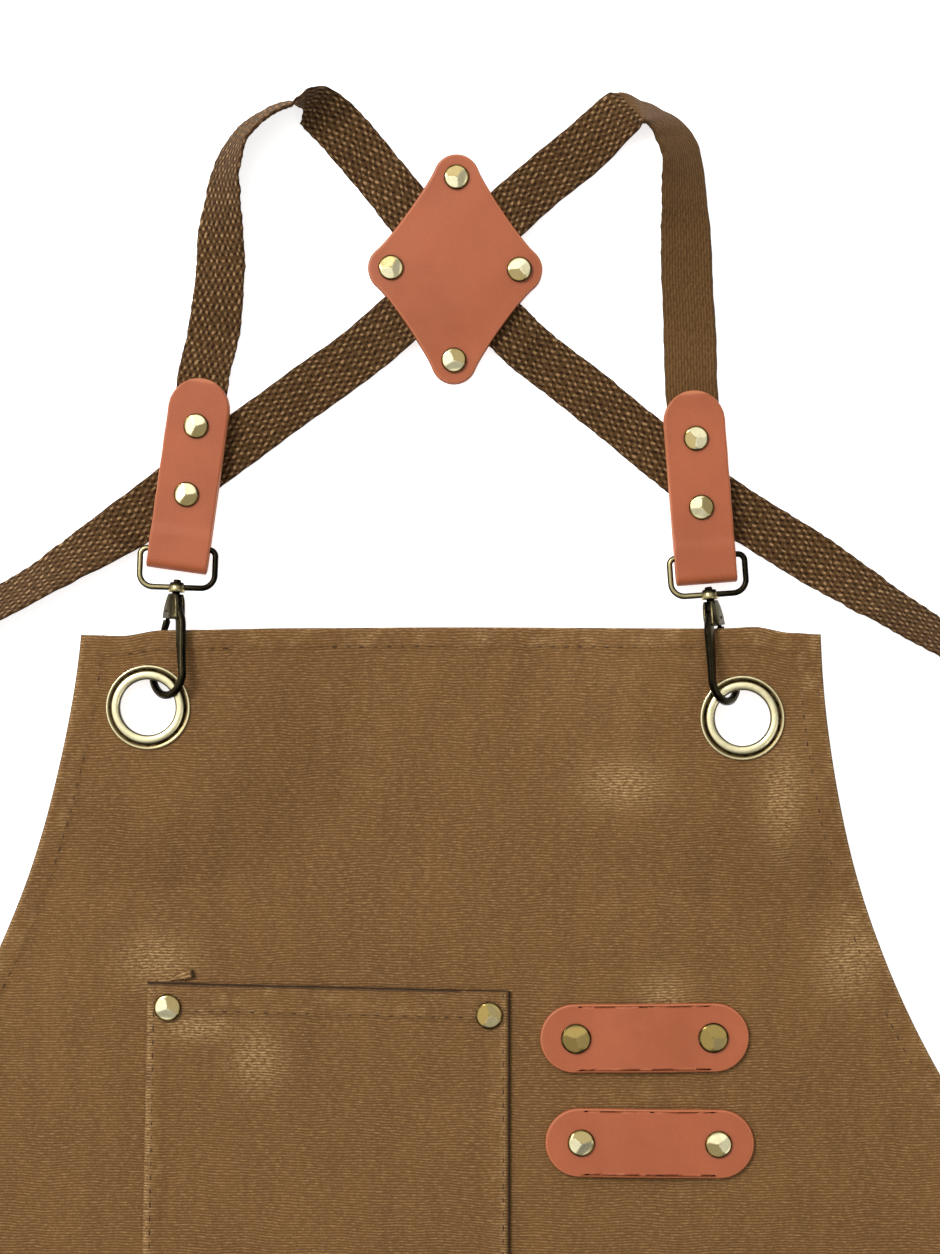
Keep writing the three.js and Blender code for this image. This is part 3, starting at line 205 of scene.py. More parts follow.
rng = np.random.default_rng(7)
waves = rng.uniform(-1, 1, (40, 4))


def ripple(x, y, size, seed=0):
    """Soft random unevenness of one size, from -1 to 1, the same in every run."""
    total = 0
    for k in range(6):
        a, b, c, d = waves[(seed * 7 + k * 3) % 40]
        total = total + np.sin((x * (1 + 0.6 * a) + y * b * 1.7) / size * 3 + 9 * c + k)
        total = total + np.sin((y * (1 + 0.6 * d) - x * c * 1.7) / size * 3 + 7 * b + 2 * k)
    return total / 6


# %% [markdown]
# Finishes are node trees. Two small helpers keep them readable: one adds a node and fills its
# inputs, one does arithmetic. A third makes a group with named sockets, for an effect that several
# finishes share.

# %% Node helpers
def node(tree, kind, inputs=None, **settings):
    made = tree.nodes.new(kind)
    for key, value in settings.items():
        setattr(made, key, value)
    for key, value in (inputs or {}).items():
        if isinstance(value, bpy.types.NodeSocket):
            tree.links.new(value, made.inputs[key])
        else:
            made.inputs[key].default_value = value
    return made


def calc(tree, operation, a, b=0.0, c=0.0):
    return node(tree, "ShaderNodeMath", {0: a, 1: b, 2: c}, operation=operation).outputs[0]


def remap(tree, value, low, high, new_low=0.0, new_high=1.0):
    inputs = {0: value, 1: low, 2: high, 3: new_low, 4: new_high}
    return node(tree, "ShaderNodeMapRange", inputs, interpolation_type="SMOOTHSTEP").outputs[0]


def mix(tree, share, a, b, blend="MIX"):
    made = node(tree, "ShaderNodeMix", {0: share, 6: a, 7: b}, data_type="RGBA", blend_type=blend)
    return made.outputs[2]


def noise(tree, vector, scale, detail=2.0, rough=0.5):
    inputs = {"Vector": vector, "Scale": scale, "Detail": detail, "Roughness": rough}
    return node(tree, "ShaderNodeTexNoise", inputs).outputs[0]


def stretch(tree, vector, x, y, z):
    inputs = {"Vector": vector, "Scale": (x, y, z)}
    return node(tree, "ShaderNodeMapping", inputs).outputs[0]


def new_group(name, kind, inputs, outputs):
    tree = bpy.data.node_groups.new(name, kind)
    for in_out, sockets in (("INPUT", inputs), ("OUTPUT", outputs)):
        for label, socket_type, *value in sockets:
            socket = tree.interface.new_socket(label, in_out=in_out, socket_type=socket_type)
            if value:
                socket.default_value = value[0]
    return tree, node(tree, "NodeGroupInput"), node(tree, "NodeGroupOutput")


def rgb(red, green, blue):
    """A colour given in screen steps from 0 to 255, as light."""
    share = [((c / 255 + 0.055) / 1.055) ** 2.4 if c > 10 else c / 255 / 12.92 for c in (red, green, blue)]
    return (*share, 1)


# %% [markdown]
# The photograph looks straight down. The camera stands 1.3 m above the middle of the picture, with
# a field of view that takes in as much of the apron as the photograph shows, on a plain pale floor.
# The shadows fall to the right, so a soft lamp stands to the upper left and the room's light is
# strongest from there. That also gives the round metal parts a bright side and a dark side. The
# floor glows a little, like a light table, which keeps it white under the straps.

# %% Camera, floor and light
scene = bpy.context.scene
PICTURE_MIDDLE, PICTURE_TALL, CAMERA_RISE = (7.3, 1.2), 482.8, 1300
camera_data = bpy.data.cameras.new("camera")
camera_data.sensor_fit = "VERTICAL"
camera_data.sensor_height = 24
camera_data.lens = 12 / (PICTURE_TALL / 2 / CAMERA_RISE)
camera = bpy.data.objects.new("camera", camera_data)
scene.collection.objects.link(camera)
camera.location = (np.array([*PICTURE_MIDDLE, CAMERA_RISE + 3]) + shift) * 0.001
scene.camera = camera

floor_mesh = bpy.data.meshes.new("floor")
floor_mesh.from_pydata([(-4, -4, 0), (4, -4, 0), (4, 4, 0), (-4, 4, 0)], [], [(0, 1, 2, 3)])
floor = bpy.data.objects.new("floor", floor_mesh)
scene.collection.objects.link(floor)
floor.location.z = -0.0002
pale = bpy.data.materials.new("pale_floor")
pale.use_nodes = True
pale.node_tree.nodes["Principled BSDF"].inputs["Base Color"].default_value = (0.93, 0.93, 0.93, 1)
pale.node_tree.nodes["Principled BSDF"].inputs["Roughness"].default_value = 0.9
pale.node_tree.nodes["Principled BSDF"].inputs["Specular IOR Level"].default_value = 0.1
pale.node_tree.nodes["Principled BSDF"].inputs["Emission Color"].default_value = (1, 1, 1, 1)
pale.node_tree.nodes["Principled BSDF"].inputs["Emission Strength"].default_value = 0.7
floor_mesh.materials.append(pale)

world = bpy.data.worlds.new("studio")
world.use_nodes = True
sky = world.node_tree
way_out = node(sky, "ShaderNodeTexCoord").outputs["Generated"]
toward = node(sky, "ShaderNodeVectorMath", {0: way_out, 1: (-0.55, 0.50, 0.67)}, operation="DOT_PRODUCT")
glow = remap(sky, toward.outputs["Value"], 0.05, 0.95, 0.15, 1.25)
sky.nodes["Background"].inputs["Color"].default_value = (1, 1, 1, 1)
sky.links.new(glow, sky.nodes["Background"].inputs["Strength"])
scene.world = world
scene.view_settings.view_transform = "Standard"


def lamp(name, place, size, power):
    data = bpy.data.lights.new(name, "AREA")
    data.shape, data.size, data.energy = "DISK", size, power
    light = bpy.data.objects.new(name, data)
    scene.collection.objects.link(light)
    light.location = place
    light.rotation_euler = (Vector((0, 0.25, 0)) - Vector(place)).to_track_quat("-Z", "Y").to_euler()
    return light


lamp("key", (-1.1, 1.3, 1.9), 0.7, 30)
lamp("fill", (1.6, -0.6, 1.8), 1.6, 6)
print("camera lens", round(camera_data.lens, 1), "mm")

# %% [markdown]
# Nothing on a used apron is one even colour. The first shared effect is a soft mottling, which
# darkens and lightens a surface in clouds. The second is a fine grain for yarn fuzz, leather pores
# and cast metal. Each finish sets its own sizes, in millimetres.

# %% Shared effects
FLOAT, VECTOR = "NodeSocketFloat", "NodeSocketVector"
mottle, given, result = new_group(
    "soft_mottle", "ShaderNodeTree",
    [("Vector", VECTOR), ("Size", FLOAT, 20.0), ("Contrast", FLOAT, 1.0)], [("Mask", FLOAT)])
frequency = calc(mottle, "DIVIDE", 1.0, given.outputs["Size"])
cloud = noise(mottle, given.outputs["Vector"], frequency, 4.0, 0.6)
spread = calc(mottle, "MULTIPLY_ADD", calc(mottle, "SUBTRACT", cloud, 0.5), given.outputs["Contrast"], 0.5)
clamped = node(mottle, "ShaderNodeClamp", {0: spread})
mottle.links.new(clamped.outputs[0], result.inputs["Mask"])

grain, given, result = new_group(
    "fine_grain", "ShaderNodeTree",
    [("Vector", VECTOR), ("Size", FLOAT, 0.6), ("Pores", FLOAT, 0.5)], [("Height", FLOAT)])
frequency = calc(grain, "DIVIDE", 1.0, given.outputs["Size"])
speckle = noise(grain, given.outputs["Vector"], frequency, 3.0, 0.6)
cells = node(grain, "ShaderNodeTexVoronoi", {"Vector": given.outputs["Vector"], "Scale": frequency},
             feature="SMOOTH_F1")
pores = calc(grain, "MULTIPLY", cells.outputs["Distance"], given.outputs["Pores"])
grain.links.new(calc(grain, "ADD", speckle, pores), result.inputs["Height"])


def use(tree, group, **inputs):
    made = node(tree, "ShaderNodeGroup", node_tree=group)
    for key, value in inputs.items():
        if isinstance(value, bpy.types.NodeSocket):
            tree.links.new(value, made.inputs[key])
        else:
            made.inputs[key].default_value = value
    return made.outputs[0]


def new_finish(name, roughness, metallic=0.0, **sockets):
    finish = bpy.data.materials.new(name)
    finish.use_nodes = True
    tree = finish.node_tree
    shader = tree.nodes["Principled BSDF"]
    shader.inputs["Roughness"].default_value = roughness
    shader.inputs["Metallic"].default_value = metallic
    for key, value in sockets.items():
        shader.inputs[key.replace("_", " ")].default_value = value
    return finish, tree, shader


def in_millimetres(tree):
    place = node(tree, "ShaderNodeTexCoord").outputs["Object"]
    return stretch(tree, place, 1000, 1000, 1000)


def on_cloth(tree):
    return node(tree, "ShaderNodeUVMap", uv_map="Cloth").outputs[0]


def stored(tree, name):
    return node(tree, "ShaderNodeAttribute", attribute_name=name).outputs["Fac"]


def relief(tree, shader, height, depth):
    """Bump whose depth is in millimetres."""
    bump = node(tree, "ShaderNodeBump", {"Strength": 1.0, "Distance": depth * 0.001, "Height": height})
    tree.links.new(bump.outputs[0], shader.inputs["Normal"])


print("groups:", mottle.name, grain.name)

# %% [markdown]
# Waxed canvas is a plain weave of thick yarns. Across the cloth the yarns stand up as ribs about a
# millimetre apart, and along each rib the wax breaks into lighter and darker dashes. The gaps between
# the ribs are darkened with painted shade, and the light dashes on the crests are wax and painted
# highlight. The pattern follows the cloth's own flat map, so it turns with the pocket.

# %% Canvas finish
RIB = 1.07
canvas, tree, shader = new_finish("waxed_canvas", 0.7, Sheen_Weight=0.05, Specular_IOR_Level=0.18)
flat = on_cloth(tree)
wander = noise(tree, flat, 0.045, 2.0)
parts = node(tree, "ShaderNodeSeparateXYZ", {0: flat})
line = calc(tree, "MULTIPLY_ADD", wander, 3.0, parts.outputs[1])
wave = calc(tree, "SINE", calc(tree, "MULTIPLY", line, 2 * math.pi / RIB))
rib = calc(tree, "MULTIPLY_ADD", wave, 0.5, 0.5)
dashes = noise(tree, stretch(tree, flat, 0.42, 1.1, 1), 1.0, 3.0, 0.7)
fuzz = use(tree, grain, Vector=flat, Size=0.7, Pores=0.0)
clouds = use(tree, mottle, Vector=flat, Size=55.0, Contrast=1.8)
streaks = use(tree, mottle, Vector=stretch(tree, flat, 1, 0.22, 1), Size=9.0, Contrast=1.7)
wear_and_highlight = stored(tree, "wear_and_highlight")
base = mix(tree, clouds, rgb(111, 76, 39), rgb(130, 93, 50))
base = mix(tree, remap(tree, streaks, 0.3, 0.8, 0.0, 0.5), base, rgb(104, 72, 37))
# Painted shade in the gaps between the ribs; the light dashes on the crests are wax and painted highlight.
rib_gap_shade = mix(tree, 0.55, base, rgb(79, 52, 23))
crest_wax_and_highlight = mix(tree, remap(tree, dashes, 0.42, 0.72), base, rgb(159, 121, 75))
tone = mix(tree, remap(tree, rib, 0.1, 0.75), rib_gap_shade, crest_wax_and_highlight)
weft = noise(tree, stretch(tree, flat, 1.1, 0.25, 1), 1.0, 2.0, 0.6)
tone = mix(tree, remap(tree, weft, 0.5, 0.75, 0.0, 0.4), tone, rgb(91, 62, 31))
tone = mix(tree, remap(tree, fuzz, 0.52, 0.75, 0.0, 0.3), tone, rgb(155, 117, 73))
# The pale tone on the rib crests is worn wax, and along the pocket's turned-in sides painted highlight.
broken = remap(tree, noise(tree, stretch(tree, flat, 0.5, 1.3, 1), 1.0, 3.0, 0.7), 0.40, 0.62)
worn = calc(tree, "MULTIPLY", calc(tree, "MULTIPLY", wear_and_highlight, broken), calc(tree, "MULTIPLY_ADD", rib, 0.9, 0.15))
tone = mix(tree, worn, tone, rgb(196, 160, 110))
# The dark attribute is painted shade: round the panel's cut rim, along the pocket's mouth and sides, and on the lifted
# hem end.
tone = mix(tree, calc(tree, "MULTIPLY", stored(tree, "dark"), 0.92), tone, rgb(32, 17, 5))
tree.links.new(tone, shader.inputs["Base Color"])
weave = calc(tree, "MULTIPLY_ADD", rib, 0.6, calc(tree, "MULTIPLY", dashes, 0.6))
height = calc(tree, "ADD", weave, calc(tree, "MULTIPLY", fuzz, 0.5))
relief(tree, shader, height, 0.16)
print(canvas.name)

# %% [markdown]
# The webbing is a coarse basket weave. Rows of nubs follow one another along it, each row set off by
# half a nub. The same few nodes work out the weave twice: once here for the colours, tan nubs lit by a
# painted highlight with painted shade in the dark gaps, and once in the tree that raises the mesh.
# Both edges are darkened with painted shade. One face of the right strap is smooth.

# %% Webbing finish
ROW_PITCH, NUB_PITCH = 5.0, 2.45


def nub_level(tree, along, across, row_pitch, nub_pitch):
    """1 on top of a nub and -1 in a gap, for places in millimetres along and across."""
    spot = node(tree, "ShaderNodeCombineXYZ", {0: along, 1: across}).outputs[0]
    drift = calc(tree, "SUBTRACT", noise(tree, spot, 0.27, 2.0), 0.5)
    waves = []
    for place, pitch, reach in ((along, row_pitch, 3.4), (across, nub_pitch, 2.2)):
        moved = calc(tree, "MULTIPLY_ADD", drift, reach, place)
        waves.append(calc(tree, "COSINE", calc(tree, "MULTIPLY", calc(tree, "DIVIDE", moved, pitch), 2 * math.pi)))
    return calc(tree, "MULTIPLY", calc(tree, "MULTIPLY", *waves), calc(tree, "ABSOLUTE", waves[0]))


webbing, tree, shader = new_finish("webbing_weave", 0.85, Sheen_Weight=0.05, Specular_IOR_Level=0.15)
flat = on_cloth(tree)
parts = node(tree, "ShaderNodeSeparateXYZ", {0: flat})
level = nub_level(tree, parts.outputs[0], parts.outputs[1], ROW_PITCH, NUB_PITCH)
lively = remap(tree, noise(tree, flat, 0.42, 2.0, 0.6), 0.38, 0.62, 0.15, 1.0)
yarns = noise(tree, stretch(tree, flat, 0.8, 1.6, 1), 1.0, 2.0, 0.6)
fuzz = use(tree, grain, Vector=flat, Size=0.6, Pores=0.0)
clouds = use(tree, mottle, Vector=flat, Size=18.0, Contrast=1.6)
ground = mix(tree, clouds, rgb(66, 43, 18), rgb(82, 57, 28))
# Painted shade in the gaps between the nubs, then a painted highlight on the nub tops.
knotted = mix(tree, remap(tree, level, -0.8, -0.1), rgb(38, 20, 4), ground)
top = calc(tree, "MULTIPLY", remap(tree, level, 0.05, 0.6), lively)
knotted = mix(tree, top, knotted, rgb(156, 122, 84))
lines = calc(tree, "SINE", calc(tree, "MULTIPLY_ADD", parts.outputs[1], 2 * math.pi / 1.15, calc(tree, "MULTIPLY", yarns, 9.0)))
quiet = mix(tree, remap(tree, lines, -0.9, 0.9), rgb(82, 55, 28), rgb(106, 77, 43))
quiet = mix(tree, remap(tree, yarns, 0.5, 0.75, 0.0, 0.5), quiet, rgb(80, 52, 24))
tone = mix(tree, stored(tree, "plain"), knotted, quiet)
tone = mix(tree, remap(tree, fuzz, 0.55, 0.75, 0.0, 0.2), tone, rgb(140, 106, 70))
# Painted shade along both edges of the webbing.
from_middle = calc(tree, "ABSOLUTE", parts.outputs[1])
tone = mix(tree, remap(tree, from_middle, 9.2, 10.1, 0.0, 0.55), tone, rgb(52, 30, 10))
tree.links.new(tone, shader.inputs["Base Color"])
relief(tree, shader, calc(tree, "MULTIPLY_ADD", level, 0.5, calc(tree, "MULTIPLY", fuzz, 0.5)), 0.22)
print(webbing.name)

# %% [markdown]
# The leather is a reddish tan with hardly any grain. The mesh marks its cut edge with an attribute
# named edge. Above nothing it paints a pale highlight, along the upper corner of the patch and the
# loops and along the cut sides and end of the tabs; below nothing it paints shade down the cut of
# the patch and the loops.

# %% Leather finish
leather, tree, shader = new_finish("tan_leather", 0.46, Specular_IOR_Level=0.3)
place = in_millimetres(tree)
pores = use(tree, grain, Vector=place, Size=0.6, Pores=0.5)
clouds = use(tree, mottle, Vector=place, Size=30.0, Contrast=1.7)
small = use(tree, mottle, Vector=place, Size=4.0, Contrast=1.0)
tone = mix(tree, clouds, rgb(158, 83, 50), rgb(182, 99, 62))
tone = mix(tree, remap(tree, small, 0.3, 0.8, 0.0, 0.25), tone, rgb(168, 95, 64))
tone = mix(tree, remap(tree, pores, 0.5, 0.85, 0.0, 0.2), tone, rgb(145, 74, 44))
# Painted light on the cut edge: shade where edge is below nothing, a pale highlight where it is above.
edge = stored(tree, "edge")
tone = mix(tree, remap(tree, edge, 0.0, -1.0, 0.0, 0.3), tone, rgb(110, 52, 30))
tone = mix(tree, remap(tree, edge, 0.0, 1.0, 0.0, 0.6), tone, rgb(194, 123, 82))
tree.links.new(tone, shader.inputs["Base Color"])
tree.links.new(remap(tree, clouds, 0.2, 0.8, 0.4, 0.54), shader.inputs["Roughness"])
relief(tree, shader, pores, 0.04)
print(leather.name)

# %% [markdown]
# Three metals: pale polished rivets, antique brass eyelets and dark bronze hooks. Each mesh stores a
# shade from 0 to 1 that blends from the groove tone through the body tone to the crest tone. A little
# of it is patina in the hollows; most of it is painted light: painted shade on the sides and rims
# turned from the lamp, and painted highlights and reflections on the crests and facets.

# %% Metal finishes
def new_metal(name, groove, body, crest, rough_low, rough_high, pit):
    finish, tree, shader = new_finish(name, rough_low, 1.0)
    place = in_millimetres(tree)
    shade = stored(tree, "shade")
    clouds = use(tree, mottle, Vector=place, Size=3.0, Contrast=1.4)
    tone = mix(tree, remap(tree, shade, 0.05, 0.5), groove, body)
    tone = mix(tree, remap(tree, shade, 0.5, 0.95), tone, crest)
    tone = mix(tree, remap(tree, clouds, 0.3, 0.9, 0.0, 0.35), tone, body)
    tree.links.new(tone, shader.inputs["Base Color"])
    tree.links.new(remap(tree, clouds, 0.2, 0.8, rough_low, rough_high), shader.inputs["Roughness"])
    relief(tree, shader, use(tree, grain, Vector=place, Size=0.5, Pores=0.3), pit)
    print(name)
    return finish


rivet_brass = new_metal("rivet_brass", rgb(34, 22, 8), rgb(172, 148, 86), rgb(255, 247, 204), 0.16, 0.26, 0.012)
antique_brass = new_metal("antique_brass", rgb(24, 16, 7), rgb(146, 126, 82), rgb(252, 242, 194), 0.22, 0.34, 0.015)
dark_bronze = new_metal("dark_bronze", rgb(12, 10, 6), rgb(50, 44, 30), rgb(186, 172, 124), 0.22, 0.36, 0.015)
thread, tree, shader = new_finish("brown_thread", 0.8)
fuzz = use(tree, grain, Vector=in_millimetres(tree), Size=0.4, Pores=0.0)
soiled = use(tree, mottle, Vector=in_millimetres(tree), Size=26.0, Contrast=2.6)
thread_tone = mix(tree, fuzz, rgb(104, 74, 40), rgb(132, 98, 58))
thread_tone = mix(tree, remap(tree, soiled, 0.35, 0.65), thread_tone, rgb(58, 36, 14))
tree.links.new(thread_tone, shader.inputs["Base Color"])

# %% [markdown]
# The canvas does not lie quite flat. The eyelets, the ends of the straps and the rivets' burrs hold
# it up, and the skirt has a few soft folds. One function gives the height of its underside
# anywhere, and everything that lies on the canvas asks it.

# %% How high the canvas lies
def waist_corner(hand):
    return hand * waist_half - LEAN * ARMHOLE_DEPTH, -ARMHOLE_DEPTH


burr_lift, end_lift = BURR_THICKNESS + GAP + 0.4, STRAP_THICKNESS + 2 * GAP
props = [(s["x"], s["y"], s["lift"], 1.1 * EYELET_RIM, 2.6 * EYELET_RIM) for s in SIDES.values()]
for hand in (-1, 1):
    corner_x, corner_y = waist_corner(hand)
    props.append((corner_x - hand * 0.6 * STRAP_WIDTH, corner_y - 0.6 * STRAP_WIDTH, end_lift,
                  2 * STRAP_WIDTH, 4.4 * STRAP_WIDTH))
props.append((loop_x, POCKET_AT[1] - 41.75, burr_lift, 0.65 * LOOP_LENGTH, 1.37 * LOOP_LENGTH))
for along in (POCKET_RIVET_IN, POCKET_WIDTH - POCKET_RIVET_IN):
    props.append((POCKET_AT[0] + along, POCKET_AT[1], burr_lift, 26, 70.2))
FOLDS = [(-0.30, 0.66, 84, 0.42, 0.050, 0.0105), (-0.07, 0.78, 96, 0.30, 0.043, 0.0080),
         (0.16, 0.62, 88, 0.36, 0.052, 0.0100), (0.36, 0.80, 80, 0.28, 0.046, 0.0090)]


def cloth_height(x, y):
    height = np.zeros(np.broadcast(x, y).shape)
    for px, py, rise, level, reach in props:
        away = np.hypot(x - px, y - py)
        height = np.maximum(height, rise * smooth(1 - (away - level) / (reach - level)))
    for across, down, turn, long, wide, rise in FOLDS:
        turn = math.radians(turn)
        dx, dy = x - across * 2 * waist_half, y + down * APRON_LENGTH
        along = (dx * math.cos(turn) + dy * math.sin(turn)) / (long * APRON_LENGTH)
        aside = (dy * math.cos(turn) - dx * math.sin(turn)) / (wide * 2 * waist_half)
        share = smooth(1 - np.abs(along)) * smooth(1 - np.abs(aside))
        height = np.maximum(height, rise * 2 * waist_half * share)
    return height


def pocket_point(along, down):
    turn = math.radians(POCKET_AT[2])
    aside = down * math.tan(math.radians(1.2)) * (1 - along / POCKET_WIDTH)
    return (POCKET_AT[0] + along * math.cos(turn) - aside,
            POCKET_AT[1] + along * math.sin(turn) - down)


def calm(x, y):
    """1 where the canvas may ripple freely, 0 near the fittings and under the pocket."""
    free = np.ones(np.broadcast(x, y).shape)
    for side in SIDES.values():
        free *= smooth((np.hypot(x - side["x"], y - side["y"]) - 45) / 35)
    free *= 1 - smooth((x + 130) / 12) * smooth((120 - x) / 20) * smooth((-120 - y) / 12) * smooth((y + 315) / 15)
    return free


print("height at the left eyelet:", round(float(cloth_height(SIDES["left"]["x"], SIDES["left"]["y"])), 2))

# %% [markdown]
# The panel is one closed sheet: a grid of points for its underside, another for its face, joined
# round the rim. The rows are close together at the bib, which the photograph shows, and wide apart
# in the skirt. The hems are folded twice, so the rim stands a little higher and is rounded off.

# %% Apron panel
def half_width(down):
    depth = np.minimum(down, ARMHOLE_DEPTH)
    share = depth / ARMHOLE_DEPTH * ARMHOLE_TURN
    full = 1 - math.sqrt(1 - ARMHOLE_TURN ** 2)
    return half_bib + ARMHOLE_FLARE * depth + ARMHOLE_REACH * (1 - np.sqrt(1 - share ** 2)) / full


TOP_EDGE = ([-1, -0.89, -0.78, -0.4, 0, 0.73, 0.82, 0.92, 1],
            [-0.24, -0.29, 0, 0.11, 0.15, 0.09, 0.17, -0.13, -0.21])
RIM = np.array([0, 0.35, 1.0, 2.2, 3.6, 5.0, 6.2, 7.0, 7.8, 8.8, 9.8, 11.0])


def panel_place(down, out, half):
    fade = smooth(1 - down / (6 * TOP_HEM))
    at, rise = (np.array(row) for row in TOP_EDGE)
    share = np.clip(out / half, -1, 1)
    knot = np.clip(np.searchsorted(at, share, side="right") - 1, 0, len(at) - 2)
    part = smooth((share - at[knot]) / (at[knot + 1] - at[knot]))
    x = out - LEAN * down
    y = fade * TOP_HEM * (rise[knot] + part * (rise[knot + 1] - rise[knot])) - down
    return x, y


def panel_grid():
    downs = np.concatenate([RIM, np.arange(13, 60, 1.9), np.arange(60, 250, 2.4),
                            np.arange(252, 600, 6.5), np.arange(600, APRON_LENGTH - 20, 8),
                            APRON_LENGTH - 1.6 * RIM[::-1]])
    halves = half_width(downs)
    inner = np.linspace(-1, 1, 121)[1:-1]
    outs = np.stack([np.concatenate([RIM - half, inner * (half - RIM[-1]), half - RIM[::-1]])
                     for half in halves])
    return np.repeat(downs[:, None], outs.shape[1], 1), outs, halves[:, None]


def rim_distance(downs, outs, halves):
    """How far in from the top, the sides and the bottom, as shares of each hem."""
    top, side = downs / TOP_HEM, (halves - np.abs(outs)) / SIDE_HEM
    return np.minimum(np.minimum(top, side), (APRON_LENGTH - downs) / BOTTOM_HEM)


RUBS = [(66.6, -59.3, 15, 9), (82, -145.5, 9, 12), (152.8, -127, 11, 14), (-113, -127, 13, 10), (127, -64, 8, 20)]


def rubbed(marks, x, y):
    """How worn the wax is near each mark: a place and how far it reaches across and down."""
    share = [np.exp(-((x - a) / wide) ** 2 - ((y - b) / tall) ** 2) for a, b, wide, tall in marks]
    return np.max(share, 0)


downs, outs, halves = panel_grid()
x, y = panel_place(downs, outs, halves)
inward = rim_distance(downs, outs, halves)
free = calm(x, y)
wavy = 0.55 * (0.5 + 0.5 * ripple(x, y, 46, 1)) + 0.22 * (0.5 + 0.5 * ripple(x, y, 17, 2))
low = cloth_height(x, y) + free * wavy
hem = 1 - smooth((inward - 0.86) / 0.3)
pucker = 0.14 * np.exp(-((inward - 0.9) / 0.35) ** 2) * ripple(x, y, 5, 3)
thick = CLOTH + HEM_EXTRA * hem + pucker
rounding = np.sqrt(np.clip(inward * 9, 0, 1))
low_edge = low + 0.4 * (1 - rounding)
over = np.stack([x, y, low + thick - 0.65 * (1 - rounding)], -1)
under = np.stack([x, y, low_edge], -1)
corner_away = np.min([np.hypot(x - s["x"], y - s["y"]) for s in SIDES.values()], 0)
whole = corner_away > EYELET_HOLE / 2 + EYELET_METAL + 0.5
keep = whole[:-1, :-1] & whole[1:, :-1] & whole[:-1, 1:] & whole[1:, 1:]
points, faces, used = sheet_skin(under, over, keep)
flat_map = np.stack([outs, -downs], -1).reshape(-1, 2)
flat_map = np.concatenate([flat_map, flat_map])[used]
crease = 0.5 * np.clip(ripple(x, y, 9, 4) - 0.35, 0, 1) * np.clip(ripple(x, y, 60, 5), 0, 1)
wear_and_highlight = np.clip(crease + rubbed(RUBS, x, y) + 0.6 * hem * np.clip(ripple(x, y, 7, 6), 0, 1) + 0.5 * (inward < 0.12), 0, 1)
# Painted shade along the panel's cut rim.
dark = np.clip(0.9 * (inward < 0.02), 0, 1)
twice = {"wear_and_highlight": np.tile(wear_and_highlight.ravel(), 2)[used], "dark": np.tile(dark.ravel(), 2)[used]}
panel = make_piece("canvas_panel", points, [faces], canvas, flat_map, twice)
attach(panel, "apron")
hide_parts("apron_panel")

# %% [markdown]
# The chest pocket is a second sheet on top of the first, with a hem across its mouth and its sides
# turned in. It bulges a little under the mouth. The thin dark line along the mouth and down the right
# side is painted shade, and the pale lines along the turned-in sides are painted highlights.

# %% Chest pocket
pocket_rim = np.array([0, 0.35, 1.0, 2.0, 3.2, 4.4, 5.6, 6.8, 8.0])
along = np.concatenate([pocket_rim, np.linspace(10, POCKET_WIDTH - 10, 75), POCKET_WIDTH - pocket_rim[::-1]])
drop = np.concatenate([pocket_rim, np.arange(9, 15, 0.8), np.arange(15.5, POCKET_HEIGHT - 9, 1.9),
                       POCKET_HEIGHT - pocket_rim[::-1]])
along, drop = np.meshgrid(along, drop)
x, y = pocket_point(along, drop)
share = along / POCKET_WIDTH
mouth = POCKET_MOUTH * np.sin(math.pi * share) ** 2 * smooth(1 - 2 * drop / POCKET_HEIGHT)
low = cloth_height(x, y) + CLOTH + GAP + 0.15 + mouth
side_in = np.minimum(along, POCKET_WIDTH - along)
foot_in = POCKET_HEIGHT - drop
hem = np.maximum(1 - smooth((drop - POCKET_HEM + 0.6) / 1.4), 1 - smooth((np.minimum(side_in, foot_in) - 6.2) / 1.4))
sag = 0.2 * (ripple(x, y, 22, 7) - 0.4) * smooth(side_in / 12) * smooth((drop - 14) / 8)
edge_in = np.minimum(np.minimum(side_in, foot_in), drop)
rounding = np.sqrt(np.clip(edge_in / 1.0, 0, 1))
puckers = 0.08 * hem * ripple(x, y, 5, 8)
over = np.stack([x, y, low + CLOTH + 0.5 * hem + puckers + sag - 0.5 * (1 - rounding)], -1)
under = np.stack([x, y, low + 0.35 * (1 - rounding)], -1)
points, faces, used = sheet_skin(under, over)
flat_map = np.tile(np.stack([along + 300, 41 - drop], -1).reshape(-1, 2), (2, 1))
# Pale lines down the left side and just inside the right side are painted highlights on the turned-in ridges; the rest
# is worn wax.
ridge_highlight = np.exp(-((along - 1.3) / 1.2) ** 2) + 0.6 * np.exp(-((POCKET_WIDTH - along - 2.6) / 1.0) ** 2)
wear_and_highlight = np.clip(0.9 * ridge_highlight + rubbed([(-74.5, -165, 10, 12), (-98, -153, 15, 5)], x, y)
              + 0.4 * hem * np.clip(ripple(x, y, 6, 9), 0, 1), 0, 1)
right_in = POCKET_WIDTH - along
# Painted shade: a dark line along the mouth and down the right side, and dark patches along the left side.
line_in = np.minimum(right_in, drop + 0.45 * (share > 0.86))
dark = np.clip(1.7 - line_in / 0.8, 0, 1)
dark += 0.4 * np.clip(ripple(x, y, 12, 11), 0, 1) * (along < 3)
values = {"wear_and_highlight": np.tile(wear_and_highlight.ravel(), 2), "dark": np.tile(dark.ravel(), 2)}
pocket = make_piece("chest_pocket_cloth", points, [faces], canvas, flat_map, values)
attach(pocket, "apron")
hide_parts("chest_pocket")

# %% [markdown]
# A short loose end of the pocket's hem sticks out above its left corner. It is a small strip of the
# same canvas, pinched at one end and lifted at the other.

